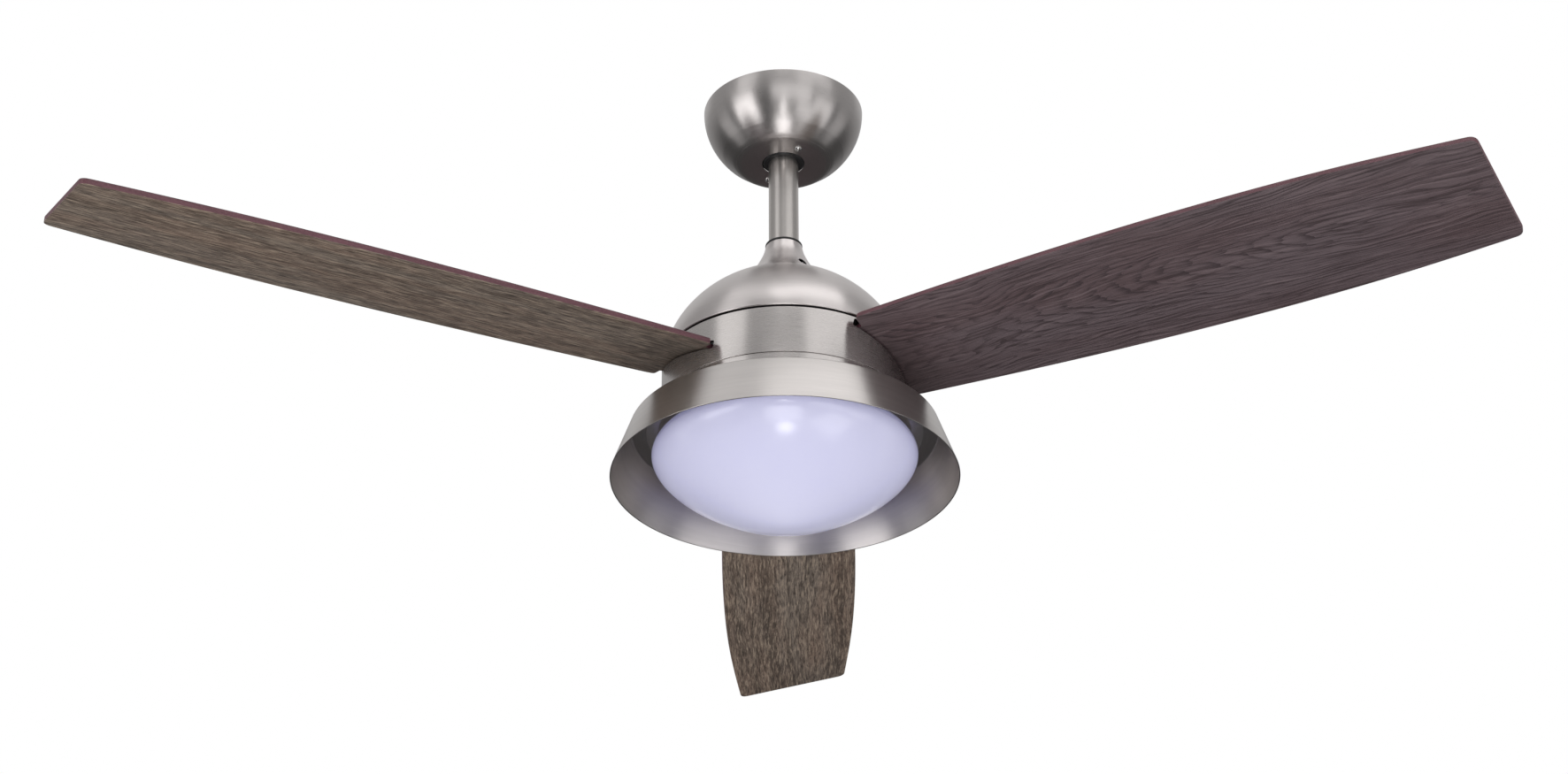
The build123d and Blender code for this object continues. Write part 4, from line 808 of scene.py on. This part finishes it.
def layer(name, azimuth, rings, material, shift):
    """Closed layer of a blade from (inset, height) rings, bottom to top, its grain shifted along."""
    plane = blade_frame(azimuth)
    outline = blade_outline()
    mesh = bpy.data.meshes.new(name)
    bm = bmesh.new()
    grain = bm.loops.layers.uv.new("grain")
    where = {}
    loops = []
    for distance, height in rings:
        points = inset(outline, distance) if distance else outline
        row = []
        for x, y in points:
            vertex = bm.verts.new(plane @ Vector((x * MM, y * MM, height * MM)))
            where[vertex] = (x * MM + shift, (y + height) * MM)
            row.append(vertex)
        loops.append(row)
    bm.faces.new(loops[0])
    bm.faces.new(loops[-1])
    for lower, upper in zip(loops, loops[1:]):
        for i in range(len(lower)):
            k = (i + 1) % len(lower)
            bm.faces.new((lower[i], lower[k], upper[k], upper[i]))
    bmesh.ops.recalc_face_normals(bm, faces=bm.faces)
    for face in bm.faces:
        for loop in face.loops:
            loop[grain].uv = where[loop.vert]
    bm.to_mesh(mesh)
    bm.free()
    obj = link(name, mesh, material)
    smooth(obj, 40)
    return obj


underside_rings = (*ARRIS, (0, FACE_THICKNESS))
core_rings = ((0, FACE_THICKNESS), (0, BLADE_THICKNESS - FACE_THICKNESS))
top_rings = tuple((gap, BLADE_THICKNESS - height) for gap, height in reversed(underside_rings))
for number, azimuth in enumerate(BLADE_AZIMUTHS, start=1):
    lower, upper = ("dark", "grey") if number in FLIPPED else ("grey", "dark")
    shift = number * GRAIN_SHIFT
    face = layer(f"blade_{number}_{lower}_underside", azimuth, underside_rings, f"{lower}_oak", shift)
    stand_for(face, "rotor", f"{lower}_oak", f"{lower}_face_{number}")
    core = layer(f"blade_{number}_core", azimuth, core_rings, "blade_core", shift)
    stand_for(core, "rotor", "blade_core", f"blade_core_{number}")
    face = layer(f"blade_{number}_{upper}_top", azimuth, top_rings, f"{upper}_oak",
                 shift + GRAIN_SHIFT_UP)
    stand_for(face, "rotor", f"{upper}_oak", f"{upper}_face_{number}")

# ---- CAD nodes that show as they are --------------------------------------------------------
for node, obj in frame["nodes"].items():
    wear(obj, MATERIALS[SLOT_OF[node]])

# ---- stage and light ------------------------------------------------------------------------
FLOOR_Z = -2.44                  # metres: the fan hangs from an ordinary ceiling, 2.44 m up
FLOOR_HALF = 12
LIGHT_AIM = Vector((0, 0, -0.25))
ROOM_BELOW, ROOM_ABOVE = 0.07, 0.40
HORIZON = (0.42, 0.62)           # where the room goes from dim to bright: 0 is down, 1 is up
SOFTBOXES = (                    # name, azimuth, elevation, distance, (width, height), brightness
    ("left_softbox", -58, -16, 2.4, (1.4, 1.9), 2.3),
    ("right_softbox", 62, -18, 2.4, (1.3, 1.7), 1.3),
    ("front_softbox", 12, 0, 2.4, (2.6, 0.95), 1.2),
    ("fill_softbox", 34, -28, 2.4, (0.9, 0.95), 1.3),
    ("top_right_softbox", 30, 60, 2.4, (2.2, 0.9), 1.65),
    ("top_left_softbox", -45, 60, 2.4, (1.5, 0.9), 0.75),
    ("high_right_softbox", 45, 30, 2.4, (2.0, 0.9), 0.6),
    ("high_left_softbox", -50, 30, 2.4, (1.1, 0.9), 0.7),
    ("low_softbox", 0, -55, 2.3, (0.9, 0.9), 2.9),
    ("low_right_softbox", 60, -55, 2.3, (0.9, 0.9), 1.8),
    ("side_left_softbox", -98, -15, 2.4, (0.9, 1.6), 0.55),
    ("side_right_softbox", 98, -15, 2.4, (0.9, 1.6), 0.5),
    ("back_left_softbox", -150, 50, 2.6, (2.0, 1.8), 0.3),
    ("back_right_softbox", 150, 50, 2.6, (2.0, 1.8), 0.3),
    ("centre_strip", 0, -28, 2.6, (0.35, 0.9), 1.9),
    ("flash", 1, -27, 2.6, (0.2, 0.2), 8.0),
    ("glass_spot", 2, -72, 2.1, (0.30, 0.30), 9.0),
)

floor_mesh = bpy.data.meshes.new("floor")
floor_corners = [(x * FLOOR_HALF, y * FLOOR_HALF, FLOOR_Z)
                 for x, y in ((-1, -1), (1, -1), (1, 1), (-1, 1))]
floor_mesh.from_pydata(floor_corners, [], [(0, 1, 2, 3)])
floor_mesh.materials.append(Shader("floor_paint", colour=(0.82, 0.82, 0.81), Roughness=0.8).material)
floor = bpy.data.objects.new("floor", floor_mesh)
scene.collection.objects.link(floor)
floor.visible_glossy = False     # the metal mirrors the dim lower half of the studio instead


def studio_world():
    """White behind the object, and a soft room for light and reflections, dim below."""
    world = bpy.data.worlds.new("studio")
    world.use_nodes = True
    nodes, links = world.node_tree.nodes, world.node_tree.links
    room = nodes["Background"]
    room.inputs["Strength"].default_value = 1.0
    direction = nodes.new("ShaderNodeSeparateXYZ")
    links.new(nodes.new("ShaderNodeTexCoord").outputs["Generated"], direction.inputs[0])
    ramp = nodes.new("ShaderNodeValToRGB")
    for element, position, grey in zip(ramp.color_ramp.elements, HORIZON, (ROOM_BELOW, ROOM_ABOVE)):
        element.position = position
        element.color = (grey, grey, grey, 1)
    height = nodes.new("ShaderNodeMapRange")
    height.inputs["From Min"].default_value = -1
    links.new(direction.outputs[2], height.inputs["Value"])
    links.new(height.outputs[0], ramp.inputs[0])
    links.new(ramp.outputs[0], room.inputs["Color"])
    backdrop = nodes.new("ShaderNodeBackground")
    backdrop.inputs["Color"].default_value = (1, 1, 1, 1)
    choose = nodes.new("ShaderNodeMixShader")
    links.new(nodes.new("ShaderNodeLightPath").outputs["Is Camera Ray"], choose.inputs[0])
    links.new(room.outputs[0], choose.inputs[1])
    links.new(backdrop.outputs[0], choose.inputs[2])
    links.new(choose.outputs[0], nodes["World Output"].inputs["Surface"])
    scene.world = world


def softbox(name, azimuth, elevation, distance, size, brightness):
    """Rectangular light aimed at the fan; azimuth 0 is the viewer's side, plus is to the right."""
    a, e = radians(azimuth), radians(elevation)
    place = LIGHT_AIM + distance * Vector((sin(a) * cos(e), -cos(a) * cos(e), sin(e)))
    light = bpy.data.lights.new(name, "AREA")
    light.shape = "RECTANGLE"
    light.size, light.size_y = size
    light.energy = brightness * pi * size[0] * size[1]
    obj = bpy.data.objects.new(name, light)
    scene.collection.objects.link(obj)
    obj.location = place
    obj.rotation_euler = (LIGHT_AIM - place).to_track_quat("-Z", "Y").to_euler()
    obj.visible_camera = False


studio_world()
for row in SOFTBOXES:
    softbox(*row)
scene.view_settings.view_transform = "Standard"
